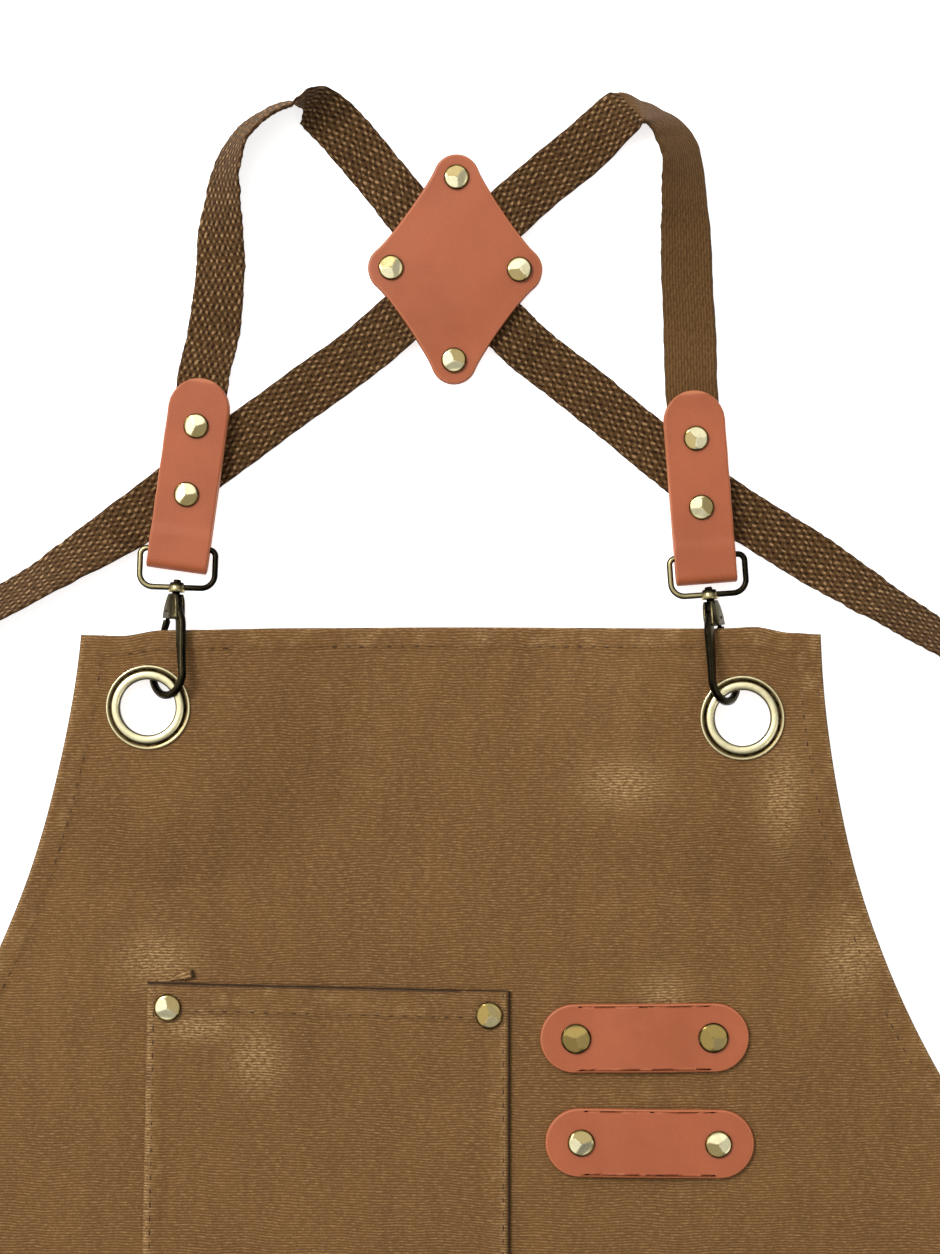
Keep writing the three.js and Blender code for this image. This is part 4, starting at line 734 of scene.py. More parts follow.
# %% Loose end of the hem
u, v = np.meshgrid(np.linspace(0, 1, 12), np.linspace(-1, 1, 7))
x = -108.2 + 9.2 * u - 0.35 * v
y = -134.6 + 2.6 * u + v * (0.35 + 1.15 * smooth(1.4 * u))
low = cloth_height(x, y) + CLOTH + GAP + 0.6 * u + 0.35 * (1 - v ** 2)
over = np.stack([x, y, low + 0.7], -1)
points, faces, used = sheet_skin(np.stack([x, y, low], -1), over)
flat_map = np.tile(np.column_stack([300 + 9 * u.ravel(), 60 + v.ravel()]), (2, 1))
# Painted shadow darkens the lifted end of the strip.
end_dark = smooth((u - 0.8) / 0.15).ravel()
hem_end = make_piece("pocket_hem_end", points, [faces], canvas, flat_map,
                     {"wear_and_highlight": np.tile(0.8 * (1 - end_dark), 2), "dark": np.tile(end_dark, 2)})
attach(hem_end, "apron")

# %% [markdown]
# Each shoulder strap is one length of webbing. It runs level out of its leather tab, rises onto its
# edge at the top, crosses the yoke flat, and leaves for the waist standing on edge. The left strap
# turns right over at the top and the right one bends round its inner corner. A table gives places
# on the middle: how far across and up, the way across the webbing, how far it has turned over, and
# which layer it lies on. The curve through them is cut into even steps.

# %% Where the webbing runs
TAIL = [(0.12, 0.36, -132, 236), (0.26, 0.70, -139, 240), (0.42, 0.94, -150, 240), (0.58, 1.00, -162, 238),
        (0.73, 0.88, -174, 230), (0.84, 0.66, -184, 208), (0.92, 0.40, -190, 180)]
ROUTES = {
    "left": [
        (-0.642, 0.563, -6, 2, 0.6), (-0.625, 0.675, 0, 16, 0), (-0.624, 0.737, -3, 26, 0),
        (-0.615, 0.811, -7, 45, 0), (-0.605, 0.861, -18, 56, 0), (-0.564, 0.923, -33, 68, 0),
        (-0.492, 0.963, -58, 74, 0), (-0.438, 0.978, -64, 76, 0), (-0.407, 0.981, -88, 92, 0),
        (-0.388, 0.981, -118, 122, 0), (-0.368, 0.977, -133, 148, 0), (-0.340, 0.963, -139, 164, 0),
        (-0.298, 0.936, -139.5, 178, 0), (-0.210, 0.865, -139.5, 180, 0), (-0.150, 0.813, -139.5, 180, 1),
        (0.011, 0.673, -138, 180, 1), (0.175, 0.550, -133, 180, 1), (0.250, 0.506, -130, 180, 0),
        (0.358, 0.449, -129.5, 180, 0), (0.536, 0.349, -129, 180, 0), (0.709, 0.253, -127, 180, 0),
        (0.850, 0.190, -125, 180, 0), (0.976, 0.136, -125, 184, 0), (1.104, 0.079, -125, 207, 0),
        (1.203, 0.036, -126, 219, 0)],
    "right": [
        (-0.647, 0.563, 2, 2, 0.5), (-0.640, 0.650, 0, 9, 0), (-0.636, 0.737, -2, 15, 0),
        (-0.630, 0.811, -6, 28, 0), (-0.6225, 0.884, -13, 39, 0), (-0.604, 0.9175, -15, 41, 0),
        (-0.579, 0.942, -20, 49, 0), (-0.5465, 0.956, -42, 61, 0), (-0.517, 0.9655, -94, 61, 0),
        (-0.486, 0.974, -126, 36, 0), (-0.453, 0.9617, -131, 18, 0), (-0.358, 0.900, -131, -2, 0),
        (-0.250, 0.840, -130, 0, 0), (-0.150, 0.776, -129, 0, 2), (-0.011, 0.680, -131, 0, 2),
        (0.145, 0.577, -129, 0, 2), (0.262, 0.511, -127, 0, 0), (0.400, 0.443, -126.5, 0, 0),
        (0.576, 0.354, -126.5, 0, 0), (0.740, 0.269, -127, 0, 0), (0.866, 0.204, -127, 0, 0),
        (0.940, 0.169, -125, 22, 0), (1.043, 0.124, -124, 37, 0), (1.140, 0.082, -127, 47, 0)],
}
tab_floor = STRAP_THICKNESS + GAP
tab_inside = tab_floor + LEATHER + GAP
tab_top = tab_inside + STRAP_THICKNESS + GAP + LEATHER
patch_inside = LEATHER + GAP
LEVELS = [0, patch_inside, patch_inside + STRAP_THICKNESS + GAP]


def strap_route(side, rows):
    mirror = -side["hand"]
    lean = math.radians(side["tab_lean"])
    down = (math.sin(lean), -math.cos(lean))
    held = TAB_LENGTH - TAB_FOLD_REACH
    route = []
    for along in (held, 0.55 * held, 0.1 * held, -3):
        back = TAB_LENGTH - along
        route.append((mirror * (side["tab_x"] - down[0] * back), side["tab_y"] - down[1] * back,
                      tab_inside, mirror * side["tab_lean"], 0))
    for x, y, turn, tilt, up in rows:
        route.append((x * half_bib, y * YOKE_RISE, np.interp(up, [0, 1, 2], LEVELS), turn, tilt))
    corner_x, corner_y = waist_corner(-side["hand"])
    goal, last = np.array([mirror * corner_x - 13, corner_y]), np.array(route[-1][:2])
    way = goal - last
    out = np.array([-way[1], way[0]]) / np.hypot(*way)
    over = 0 if side["hand"] < 0 else 180
    for along, bow, turn, tilt in TAIL:
        route.append((*(last + along * way + bow * TAIL_BOW * out), 0, turn, tilt - over))
    for below in (0, TAIL_UNDER):
        route.append((goal[0] - 0.18 * below, goal[1] - below, 0, -193, 180 - over))
    return np.array(route)


def strap_line(side, rows, step):
    """Even steps along the webbing: middle, way across, way out of its face, and length so far."""
    route = strap_route(side, rows)
    padded = np.concatenate([route[:1], route, route[-1:]])
    fine = []
    for before, here, after, beyond in zip(padded, padded[1:], padded[2:], padded[3:]):
        t = np.arange(60)[:, None] / 60
        curve = 0.5 * (2 * here + (after - before) * t + (2 * before - 5 * here + 4 * after - beyond) * t ** 2
                       + (3 * here - before - 3 * after + beyond) * t ** 3)
        curve[:, 2:] = here[2:] + (after - here)[2:] * smooth(t)
        fine.append(curve)
    fine = np.concatenate([*fine, route[-1:]])
    tilt, turn = np.radians(fine[:, 4]), np.radians(fine[:, 3])
    reach = STRAP_WIDTH / 2 * np.abs(np.sin(tilt)) + STRAP_THICKNESS / 2 * np.abs(np.cos(tilt))
    middle = np.column_stack([fine[:, 0], fine[:, 1], fine[:, 2] + reach])
    length = np.concatenate([[0], np.cumsum(np.linalg.norm(np.diff(middle, axis=0), axis=1))])
    even = np.linspace(0, length[-1], int(length[-1] / step) + 1)
    middle = np.stack([np.interp(even, length, middle[:, k]) for k in range(3)], -1)
    turn, tilt = np.interp(even, length, turn), np.interp(even, length, tilt)
    mirror = np.array([-side["hand"], 1, 1])
    way = np.column_stack([np.cos(turn) * np.cos(tilt), np.sin(turn) * np.cos(tilt), np.sin(tilt)])
    face = np.column_stack([-np.cos(turn) * np.sin(tilt), -np.sin(turn) * np.sin(tilt), np.cos(tilt)])
    return middle * mirror, way * mirror, face * mirror, even


# %% [markdown]
# The weave repeats along the webbing, so Geometry Nodes raise it. The tree reads how far along and
# across each point lies, works out the weave there, and lowers the point wherever there is no nub,
# so the webbing never gets thicker than its solid.

# %% Basket weave tree
weave_tree, given, result = new_group(
    "basket_weave", "GeometryNodeTree",
    [("Geometry", "NodeSocketGeometry"), ("Row pitch", FLOAT, 5.0), ("Nub pitch", FLOAT, 2.45),
     ("Relief", FLOAT, 0.0003), ("Finish", "NodeSocketMaterial")],
    [("Geometry", "NodeSocketGeometry")])


def named(tree, label):
    return node(tree, "GeometryNodeInputNamedAttribute", {"Name": label}, data_type="FLOAT").outputs["Attribute"]


level = nub_level(weave_tree, named(weave_tree, "along"), named(weave_tree, "across"),
                  given.outputs["Row pitch"], given.outputs["Nub pitch"])
bumpy = calc(weave_tree, "SUBTRACT", 1.0, calc(weave_tree, "MULTIPLY", named(weave_tree, "plain"), 0.8))
sunk = calc(weave_tree, "MULTIPLY", calc(weave_tree, "MULTIPLY_ADD", level, 0.5, -0.5), bumpy)
rise = calc(weave_tree, "MULTIPLY", sunk, given.outputs["Relief"])
normal = node(weave_tree, "GeometryNodeInputNormal").outputs[0]
push = node(weave_tree, "ShaderNodeVectorMath", {0: normal, 3: rise}, operation="SCALE").outputs[0]
moved = node(weave_tree, "GeometryNodeSetPosition", {"Geometry": given.outputs["Geometry"], "Offset": push})
plain_mesh = node(weave_tree, "GeometryNodeRealizeInstances", {0: moved.outputs[0]})
dressed = node(weave_tree, "GeometryNodeSetMaterial",
               {"Geometry": plain_mesh.outputs[0], "Material": given.outputs["Finish"]})
weave_tree.links.new(dressed.outputs[0], result.inputs["Geometry"])


def grow(piece, tree, **values):
    """Runs a tree on a piece and keeps the plain mesh that comes out."""
    modifier = piece.modifiers.new("grow", "NODES")
    modifier.node_group = tree
    for item in tree.interface.items_tree:
        if item.item_type == "SOCKET" and item.in_out == "INPUT" and item.name in values:
            modifier[item.identifier] = values[item.name]
    depsgraph = bpy.context.evaluated_depsgraph_get()
    mesh = bpy.data.meshes.new_from_object(piece.evaluated_get(depsgraph))
    piece.modifiers.clear()
    piece.data = mesh
    mesh.polygons.foreach_set("use_smooth", [True] * len(mesh.polygons))
    print(piece.name, len(mesh.polygons), "faces")
    return piece


# %% Shoulder straps
ACROSS = 43
straps = {}
for name, side in SIDES.items():
    middle, way, face, even = strap_line(side, ROUTES[name], 0.88)
    across = STRAP_WIDTH / 2 * np.sin(np.linspace(-1, 1, ACROSS) * 0.97) / math.sin(0.97)
    bevel = np.sqrt(np.clip((STRAP_WIDTH / 2 - np.abs(across)) / 0.9, 0.12, 1))
    fringe = 0.08 * (np.sin(even / 1.7) + np.sin(even / 5.3))[:, None] * (np.abs(across) > STRAP_WIDTH / 2 - 0.2)
    spread_out = across * (1 + fringe / (STRAP_WIDTH / 2))
    top_side = (middle[:, None] + way[:, None] * spread_out[..., None]
                + face[:, None] * (STRAP_THICKNESS / 2 * bevel)[:, None])
    low_side = (middle[:, None] + way[:, None] * spread_out[..., None]
                - face[:, None] * (STRAP_THICKNESS / 2 * bevel)[:, None])
    rings = np.concatenate([top_side, low_side[:, ::-1]], 1)
    points, face_sets = tube_skin(rings)
    v = np.tile(np.concatenate([across, across[::-1]]), len(even))
    u = np.repeat(even, 2 * ACROSS)
    crease = even[np.argmin(np.hypot(middle[:, 0] - 69, middle[:, 1] - 200.6))]
    upper = np.tile(np.repeat([1.0, 0.0], ACROSS), len(even))
    side_flag = np.where(u < crease, upper, 1 - upper) * (name == "right")
    pad = np.zeros(2)
    values = {"along": np.concatenate([u, pad]), "across": np.concatenate([v, pad]),
              "plain": np.concatenate([side_flag, pad])}
    strap = make_piece(f"webbing_{name}", points, face_sets, webbing,
                       np.column_stack([values["along"], values["across"]]), values)
    straps[name] = grow(strap, weave_tree, **{"Row pitch": ROW_PITCH, "Nub pitch": NUB_PITCH}, Relief=0.0005, Finish=webbing)
    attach(strap, "apron")
    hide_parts(f"shoulder_strap_{name}")
    print(name, "strap is", round(float(even[-1])), "mm long")

# %% [markdown]
# A leather tab is folded round the bar of its ring and riveted through the webbing. Its section is
# a rounded strip; it follows a hairpin line, and gets narrower where the end is rounded.

# %% Leather tabs
def strip_ring(middle, way, face, width, thickness):
    """A flat section with rounded edges, in 24 points."""
    w, t = width / 2, thickness / 2
    r = min(0.5, w * 0.9)
    half = [(-w + r * 0.0, 0), (-w + 0.3 * r, 0.62 * t), (-w + r, t)]
    half += [(x, t) for x in np.linspace(-w + 2 * r, w - 2 * r, 7)]
    half += [(w - r, t), (w - 0.3 * r, 0.62 * t), (w, 0)]
    loop = np.array(half + [(x, -t) for x, t in half[-2:0:-1]])
    return middle + np.outer(loop[:, 0], way) + np.outer(loop[:, 1], face), loop[:, 1]


def hairpin_line():
    """The middle of the leather: away from the fold, height, and the angle it runs at."""
    bulge = tab_top + TAB_BULGE
    round_out = (bulge - tab_floor) / 2
    mid_low, mid_radius = tab_floor + LEATHER / 2, round_out - LEATHER / 2
    tip = TAB_LENGTH - np.array([0.05, 0.25, 0.6, 1.1, 1.9, 3.0, 4.5, 6.5, 9, 11.75, 16])
    rows = [(a, mid_low, 0) for a in tip] + [(a, mid_low, 0) for a in np.linspace(54, round_out + 1, 14)]
    for angle in np.linspace(0, math.pi, 15):
        rows.append((round_out - mid_radius * math.sin(angle), mid_low + mid_radius * (1 - math.cos(angle)), angle))
    top = tab_top - LEATHER / 2
    for a in np.linspace(round_out + 1, 13, 4):
        rows.append((a, top + TAB_BULGE, math.pi))
    for a in (14, 15.3, 16.7, 18):
        rows.append((a, top + TAB_BULGE * (1 - smooth((a - 13.5) / 4.5)), math.pi))
    rows += [(a, top, math.pi) for a in np.linspace(20, 54, 13)] + [(a, top, math.pi) for a in tip[::-1]]
    return rows


for name, side in SIDES.items():
    rings, edge = [], []
    lean = math.radians(side["tab_lean"])
    cos, sin = math.cos(lean), math.sin(lean)
    for away, height, angle in hairpin_line():
        past = max(0.0, away - (TAB_LENGTH - TAB_WIDTH / 2))
        width = 2 * math.sqrt(max((TAB_WIDTH / 2) ** 2 - past ** 2, 0.01))
        worn = 0.12 * math.sin(away * 0.5 + height) * (height > 5)
        ring, rise = strip_ring(np.array([0, away, height]), np.array([1, 0, 0]),
                                np.array([0, -math.sin(angle), -math.cos(angle)]), width + worn,
                                LEATHER * min(1, 0.35 + 0.4 * (TAB_LENGTH - away)))
        rings.append(ring)
        # Painted highlight along the cut sides and the rounded end of the tab.
        edge.append(np.abs(rise) < 0.9 * LEATHER / 2 if TAB_LENGTH - away > 0.5 else np.ones(len(rise)))
    rings = np.array(rings)
    turned = np.stack([side["tab_x"] + cos * rings[..., 0] - sin * rings[..., 1],
                       side["tab_y"] + sin * rings[..., 0] + cos * rings[..., 1], rings[..., 2]], -1)
    points, face_sets = tube_skin(turned)
    edge = np.concatenate([np.array(edge, float).ravel(), [1, 1]])
    tab = make_piece(f"tab_leather_{name}", points, face_sets, leather, None, {"edge": edge})
    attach(tab, "apron")
    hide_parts(f"leather_tab_{name}")

# %% [markdown]
# The crossing patch, front and back, and the two tool loops are cut from flat leather. Rings of
# points run from the middle out to the cut, round its softened edge and back in above.

# %% Patch and loop helpers
def arc(centre_x, centre_y, radius, start, stop, count):
    angle = np.linspace(start, stop, count)
    return np.column_stack([centre_x + radius * np.cos(angle), centre_y + radius * np.sin(angle)])


def cut_leather(outline, bottom, thickness):
    """Rings for a flat piece of leather with softened edges, on a bottom that is a function."""
    ahead, behind = np.roll(outline, -1, 0), np.roll(outline, 1, 0)
    along = ahead - behind
    out = np.column_stack([along[:, 1], -along[:, 0]]) / np.linalg.norm(along, axis=1)[:, None]
    middle = outline.mean(0)
    flat_rows = [middle + (outline - middle) * share for share in (0.06, 0.2, 0.35, 0.5, 0.64, 0.76, 0.86, 0.93)]
    rings, edge = [], []
    for place in flat_rows:
        rings.append((place, 0.0))
    for inset, level in ((0.9, 0), (0.45, 0.02), (0.12, 0.14), (0, 0.38), (0, 0.64), (0.16, 0.87), (0.5, 0.98), (1.0, 1)):
        rings.append((outline - out * inset, level))
    for place in flat_rows[::-1]:
        rings.append((place, 1.0))
    made = []
    for place, level in rings:
        z = bottom(place[:, 0], place[:, 1]) + thickness * level
        made.append(np.column_stack([place, z]))
        # Painted shade down the cut and a painted highlight along the upper corner.
        edge.append(np.full(len(place), np.interp(level, [0, 0.05, 0.7, 0.87, 0.98, 1], [0, -1, -1, -0.4, 1, 0])))
    return np.array(made), np.concatenate([np.concatenate(edge), [0, 0]])


def turned_to(points, x, y, lean):
    cos, sin = math.cos(math.radians(lean)), math.sin(math.radians(lean))
    return np.stack([x + cos * points[..., 0] - sin * points[..., 1],
                     y + sin * points[..., 0] + cos * points[..., 1], points[..., 2]], -1)


# %% Crossing patch
tall, wide = PATCH_HEIGHT / 2 - PATCH_LOBE, PATCH_WIDTH / 2 - PATCH_LOBE
LOBES = {"top": (0, tall), "left": (-wide, 0), "bottom": (0, -tall), "right": (wide, 0)}


def patch_outline():
    lobes = list(LOBES.values())
    arcs = []
    for i, lobe in enumerate(lobes):
        after, before = lobes[(i + 1) % 4], lobes[i - 1]
        start = math.atan2(lobe[1] - before[1], lobe[0] - before[0]) - math.pi / 2 - 0.3
        stop = math.atan2(after[1] - lobe[1], after[0] - lobe[0]) - math.pi / 2 + 0.3
        stop += 2 * math.pi * (stop < start)
        arcs.append(arc(*lobe, PATCH_LOBE, start, stop, 16))
    pieces = []
    for here, after in zip(arcs, arcs[1:] + arcs[:1]):
        leave, arrive = here[-1] - here[-2], after[1] - after[0]
        first = here[-1] + 7 * leave / np.hypot(*leave)
        second = after[0] - 7 * arrive / np.hypot(*arrive)
        t = np.linspace(0, 1, 24)[1:-1, None]
        pieces += [here, (1 - t) ** 3 * here[-1] + 3 * t * (1 - t) ** 2 * first
                   + 3 * t ** 2 * (1 - t) * second + t ** 3 * after[0]]
    return np.concatenate(pieces)


patch_top = LEVELS[2] + STRAP_THICKNESS + GAP
ridge = STRAP_WIDTH / 2 + 0.6
patch_turn = math.radians(45.5 - PATCH_AT[2])


def patch_bottom(x, y):
    across = np.abs(y * math.cos(patch_turn) - x * math.sin(patch_turn))
    return patch_top - PATCH_DROP * smooth((across - ridge) / 17)


outline = patch_outline()
for name, bottom in (("front", patch_bottom), ("back", lambda x, y: 0 * x)):
    rings, edge = cut_leather(outline, bottom, LEATHER)
    points, face_sets = tube_skin(turned_to(rings, *PATCH_AT))
    patch = make_piece(f"patch_leather_{name}", points, face_sets, leather, None, {"edge": edge})
    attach(patch, "apron")
    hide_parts(f"cross_patch_{name}")

# %% Tool loops
for name, (x, y, lean) in LOOPS.items():
    half, cap = LOOP_LENGTH / 2, LOOP_WIDTH / 2
    radius = 5.8 if name == "upper" else 5.2
    side_x = np.linspace(cap - half, half - cap, 24)[1:-1]
    outline = np.concatenate([
        arc(half - cap, 0, cap, -math.pi / 2, math.pi / 2, 26), np.column_stack([side_x[::-1], side_x * 0 + cap]),
        arc(cap - half, 0, cap, math.pi / 2, 1.5 * math.pi, 26), np.column_stack([side_x, side_x * 0 - cap])])
    floor_height = float(cloth_height(x, y)) + CLOTH + GAP
    seat = LOOP_RIVET_PITCH / 2 - radius - 1
    rings, edge = cut_leather(outline, lambda u, v: floor_height + LOOP_RISE * smooth(1.6 * (1 - np.abs(u) / seat)), LEATHER)
    points, face_sets = tube_skin(turned_to(rings, x, y, lean))
    loop = make_piece(f"loop_leather_{name}", points, face_sets, leather, None, {"edge": edge})
    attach(loop, "apron")
    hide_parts(f"tool_loop_{name}")

# %% [markdown]
# Fourteen rivets hold the leather and the pocket. They are all one shape, a hammered cap, a post
# and a burr behind, so Geometry Nodes put a copy at each seat, turned its own way, with a longer
# post where it goes through more layers.

# %% One rivet
def disc_rings(rows, count, start=0.0):
    """Rings about the upright axis, from rows of radius and height."""
    angle = np.linspace(0, 2 * math.pi, count, endpoint=False) + start
    return np.array([np.column_stack([r * np.cos(angle), r * np.sin(angle), np.full(count, z)]) for r, z in rows])


CAP_RADIUS, POST_LENGTH = 5.2, 4.65
cap_rows = [(0.3, 0.02), (CAP_RADIUS - 0.35, 0), (CAP_RADIUS - 0.06, 0.12), (CAP_RADIUS, 0.34), (CAP_RADIUS - 0.1, 0.62)]
cap_rows += [(CAP_RADIUS * s, 0.62 + 1.2 * (1 - s ** 2.4) ** 0.8) for s in (0.95, 0.9, 0.83, 0.75, 0.66, 0.56, 0.45, 0.34, 0.22, 0.1)]
cap = disc_rings(cap_rows, 48)
# Painted reflections: each struck facet gets its own brightness, and the rest of the dome a bright one.
facet_reflection = np.full(cap.shape[:2], 0.9)
for slope, aim, reach, bright in ((0.22, 0.6, 1.55, 0.62), (0.13, 2.9, 1.52, 1.0), (0.27, 4.6, 1.6, 0.85)):
    plane = np.maximum(reach - slope * (cap[..., 0] * math.cos(aim) + cap[..., 1] * math.sin(aim)) * 0.9, 0.66)
    struck = (cap[..., 2] > 0.65) & (plane < cap[..., 2])
    facet_reflection[struck] = bright
    cap[..., 2] = np.where(struck, plane, cap[..., 2])
post = disc_rings([(POST_RADIUS, 0.2), (POST_RADIUS, -POST_LENGTH + BURR_THICKNESS)], 12)
burr = disc_rings([(0.4, -3.85), (BURR_RADIUS - 0.2, -3.85), (BURR_RADIUS, -4.0), (BURR_RADIUS, -4.5),
                   (BURR_RADIUS - 0.2, -POST_LENGTH), (0.4, -POST_LENGTH)], 24)
rivet_points, rivet_faces = joined(tube_skin(cap), tube_skin(post), tube_skin(burr))
from_axis = np.hypot(rivet_points[:, 0], rivet_points[:, 1]) / CAP_RADIUS
shade = np.full(len(rivet_points), 0.5)
shade[:facet_reflection.size] = facet_reflection.ravel()
# A painted shadow ring round the edge of the cap.
shade *= 1 - 0.95 * smooth((from_axis - 0.84) / 0.1)
lowest = (rivet_points[:, 2] < -3).astype(float)
pattern = make_piece("rivet_pattern", rivet_points - shift, rivet_faces, rivet_brass, None,
                     {"shade": shade, "lowest": lowest})

# %% Rivet tree
rivet_tree, given, result = new_group(
    "rivets_on_seats", "GeometryNodeTree",
    [("Geometry", "NodeSocketGeometry"), ("Rivet", "NodeSocketObject"), ("Usual radius", FLOAT, 0.0052),
     ("Usual post", FLOAT, 0.00465), ("Finish", "NodeSocketMaterial")],
    [("Geometry", "NodeSocketGeometry")])
shape = node(rivet_tree, "GeometryNodeObjectInfo", {"Object": given.outputs["Rivet"]}).outputs["Geometry"]
size = calc(rivet_tree, "DIVIDE", named(rivet_tree, "radius"), given.outputs["Usual radius"])
scale = node(rivet_tree, "ShaderNodeCombineXYZ", {0: size, 1: size, 2: 1.0}).outputs[0]
spin = node(rivet_tree, "ShaderNodeCombineXYZ", {2: named(rivet_tree, "aim")}).outputs[0]
copies = node(rivet_tree, "GeometryNodeInstanceOnPoints",
              {"Points": given.outputs["Geometry"], "Instance": shape, "Rotation": spin, "Scale": scale})
real = node(rivet_tree, "GeometryNodeRealizeInstances", {0: copies.outputs[0]})
longer = calc(rivet_tree, "SUBTRACT", given.outputs["Usual post"], named(rivet_tree, "post"))
drop = node(rivet_tree, "ShaderNodeCombineXYZ",
            {2: calc(rivet_tree, "MULTIPLY", longer, named(rivet_tree, "lowest"))}).outputs[0]
moved = node(rivet_tree, "GeometryNodeSetPosition", {"Geometry": real.outputs[0], "Offset": drop})
tinted = calc(rivet_tree, "MULTIPLY", named(rivet_tree, "shade"), named(rivet_tree, "bright"))
moved = node(rivet_tree, "GeometryNodeStoreNamedAttribute",
             {"Geometry": moved.outputs[0], "Name": "shade", "Value": tinted}, data_type="FLOAT", domain="POINT")
dressed = node(rivet_tree, "GeometryNodeSetMaterial",
               {"Geometry": moved.outputs[0], "Material": given.outputs["Finish"]})
rivet_tree.links.new(dressed.outputs[0], result.inputs["Geometry"])

# %% Rivet seats
DULL = {"tool_loop_upper_rivet_left": 0.55, "tool_loop_upper_rivet_right": 0.6, "pocket_rivet_right": 0.72}
seats = []
for tag, at in (("left", POCKET_RIVET_IN), ("right", POCKET_WIDTH - POCKET_RIVET_IN)):
    x, y = pocket_point(at, POCKET_RIVET_DOWN)
    top = float(cloth_height(x, y)) + 2 * CLOTH + HEM_EXTRA + 3 * GAP + 0.15
    seats.append((f"pocket_rivet_{tag}", x, y, top, 5.2, 4.65))
for name, (x, y, lean) in LOOPS.items():
    top = float(cloth_height(x, y)) + CLOTH + LEATHER + 2 * GAP
    for tag, hand in (("left", -1), ("right", 1)):
        out, turn = hand * LOOP_RIVET_PITCH / 2, math.radians(lean)
        seats.append((f"tool_loop_{name}_rivet_{tag}", x + out * math.cos(turn), y + out * math.sin(turn),
                      top, 5.8 if name == "upper" else 5.2, 4.7))
for tag, side in SIDES.items():
    lean = math.radians(side["tab_lean"])
    for name, at in zip(("upper", "lower"), TAB_RIVETS):
        up = TAB_LENGTH - at
        seats.append((f"tab_rivet_{name}_{tag}", side["tab_x"] - math.sin(lean) * up,
                      side["tab_y"] + math.cos(lean) * up, tab_top + GAP, 4.8, tab_top + GAP - tab_floor))
for tag, lobe in LOBES.items():
    across = abs(lobe[1] * math.cos(patch_turn) - lobe[0] * math.sin(patch_turn)) - 4.8
    top = patch_top - PATCH_DROP * float(smooth((across - ridge) / 17)) + LEATHER + GAP
    x, y, _ = turned_to(np.array([*lobe, 0.0]), *PATCH_AT)
    seats.append((f"patch_rivet_{tag}", x, y, top, 4.8, top))
base = bpy.data.meshes.new("rivets")
base.from_pydata([((np.array(seat[1:4]) + shift) * 0.001).tolist() for seat in seats], [], [])
for key, numbers in (("radius", [s[4] * 0.001 for s in seats]), ("post", [s[5] * 0.001 for s in seats]),
                     ("aim", [(2.4 * i * i) % 6.28 for i in range(len(seats))]),
                     ("bright", [DULL.get(s[0], 1.0) for s in seats])):
    base.attributes.new(key, "FLOAT", "POINT").data.foreach_set("value", numbers)
rivets = bpy.data.objects.new("rivets", base)
scene.collection.objects.link(rivets)
grow(rivets, rivet_tree, Rivet=pattern, Finish=rivet_brass)
bpy.data.objects.remove(pattern)
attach(rivets, "apron")
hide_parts(*[seat[0] for seat in seats])

# %% [markdown]
# An eyelet is a turned part: a barrel through the cloth, a flange behind and a rolled lip in front,
# with a thin washer under the lip. Both are closed profiles carried once round the axis.

# %% Eyelets
def turn(profile, count):
    """A closed profile of radius, height and shade carried round the axis."""
    angle = np.linspace(0, 2 * math.pi, count, endpoint=False)
    profile = np.array(profile)
    rings = np.stack([np.outer(np.cos(angle), profile[:, 0]), np.outer(np.sin(angle), profile[:, 0]),
                      np.tile(profile[:, 1], (count, 1))], -1)
    return tube_skin(rings, closed=True), np.tile(profile[:, 2], count)


bore, barrel, rim = EYELET_HOLE / 2, EYELET_HOLE / 2 + EYELET_METAL, EYELET_RIM / 2
washer_low = CLOTH + GAP
washer_high = washer_low + EYELET_WASHER
roll_low = washer_high + GAP
lip = []
# The third number of each row is its shade: a painted highlight on the crest of the lip and the washer's rim, painted
# shade down the bore and on the lip's outer side, and patina in the valleys.
for angle in np.linspace(0, math.pi, 15):
    r = bore + EYELET_ROLL * (0.5 - 0.5 * math.cos(angle))
    crest = math.sin(angle)
    lip.append((r, roll_low + 0.2 + (EYELET_RISE - 0.2) * crest ** 0.8, 0.95 * smooth((crest - 0.4) / 0.4) * (1 - 0.35 * smooth((angle - 2) / 0.8))))
grommet = [(bore, 0, 0.12), (bore, 0.5 * roll_low, 0.1), (bore, roll_low, 0.04), *lip,
           (bore + EYELET_ROLL - 0.4, roll_low, 0.05), (barrel, roll_low, 0.05), (barrel, -GAP, 0.1),
           (rim - 1.2, -GAP, 0.3), (rim - 1.0, -GAP - 0.3, 0.5), (rim - 2.0, -GAP - EYELET_BACK, 0.6),
           (bore + 1.2, -GAP - EYELET_BACK, 0.6), (bore + 0.4, -GAP - 0.5, 0.5)]
washer = [(barrel + GAP, washer_low, 0.1), (rim - 0.2, washer_low, 0.4), (rim, washer_low + 0.2, 0.75),
          (rim - 0.1, washer_high + 0.15, 0.9), (rim - 0.45, washer_high + 0.3, 0.95),
          (rim - 0.9, washer_high + 0.12, 0.5), (rim - 1.4, washer_high, 0.06),
          (barrel + 2.0, washer_high, 0.02), (barrel + GAP, washer_high, 0.02)]
for name, side in SIDES.items():
    for label, profile, stands in (("eyelet_roll", grommet, "eyelet"), ("eyelet_seat", washer, "eyelet_washer")):
        (points, face_sets), shade = turn(profile, 88)
        points = points + [side["x"], side["y"], side["lift"]]
        ring = make_piece(f"{label}_{name}", points, face_sets, antique_brass, None, {"shade": shade})
        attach(ring, "apron")
        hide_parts(f"{stands}_{name}")

# %% [markdown]
# The ring that carries the tab is bent wire with a collar cast on its lower bar. The wire is a
# round section carried along a rounded rectangle, and the collar is turned.

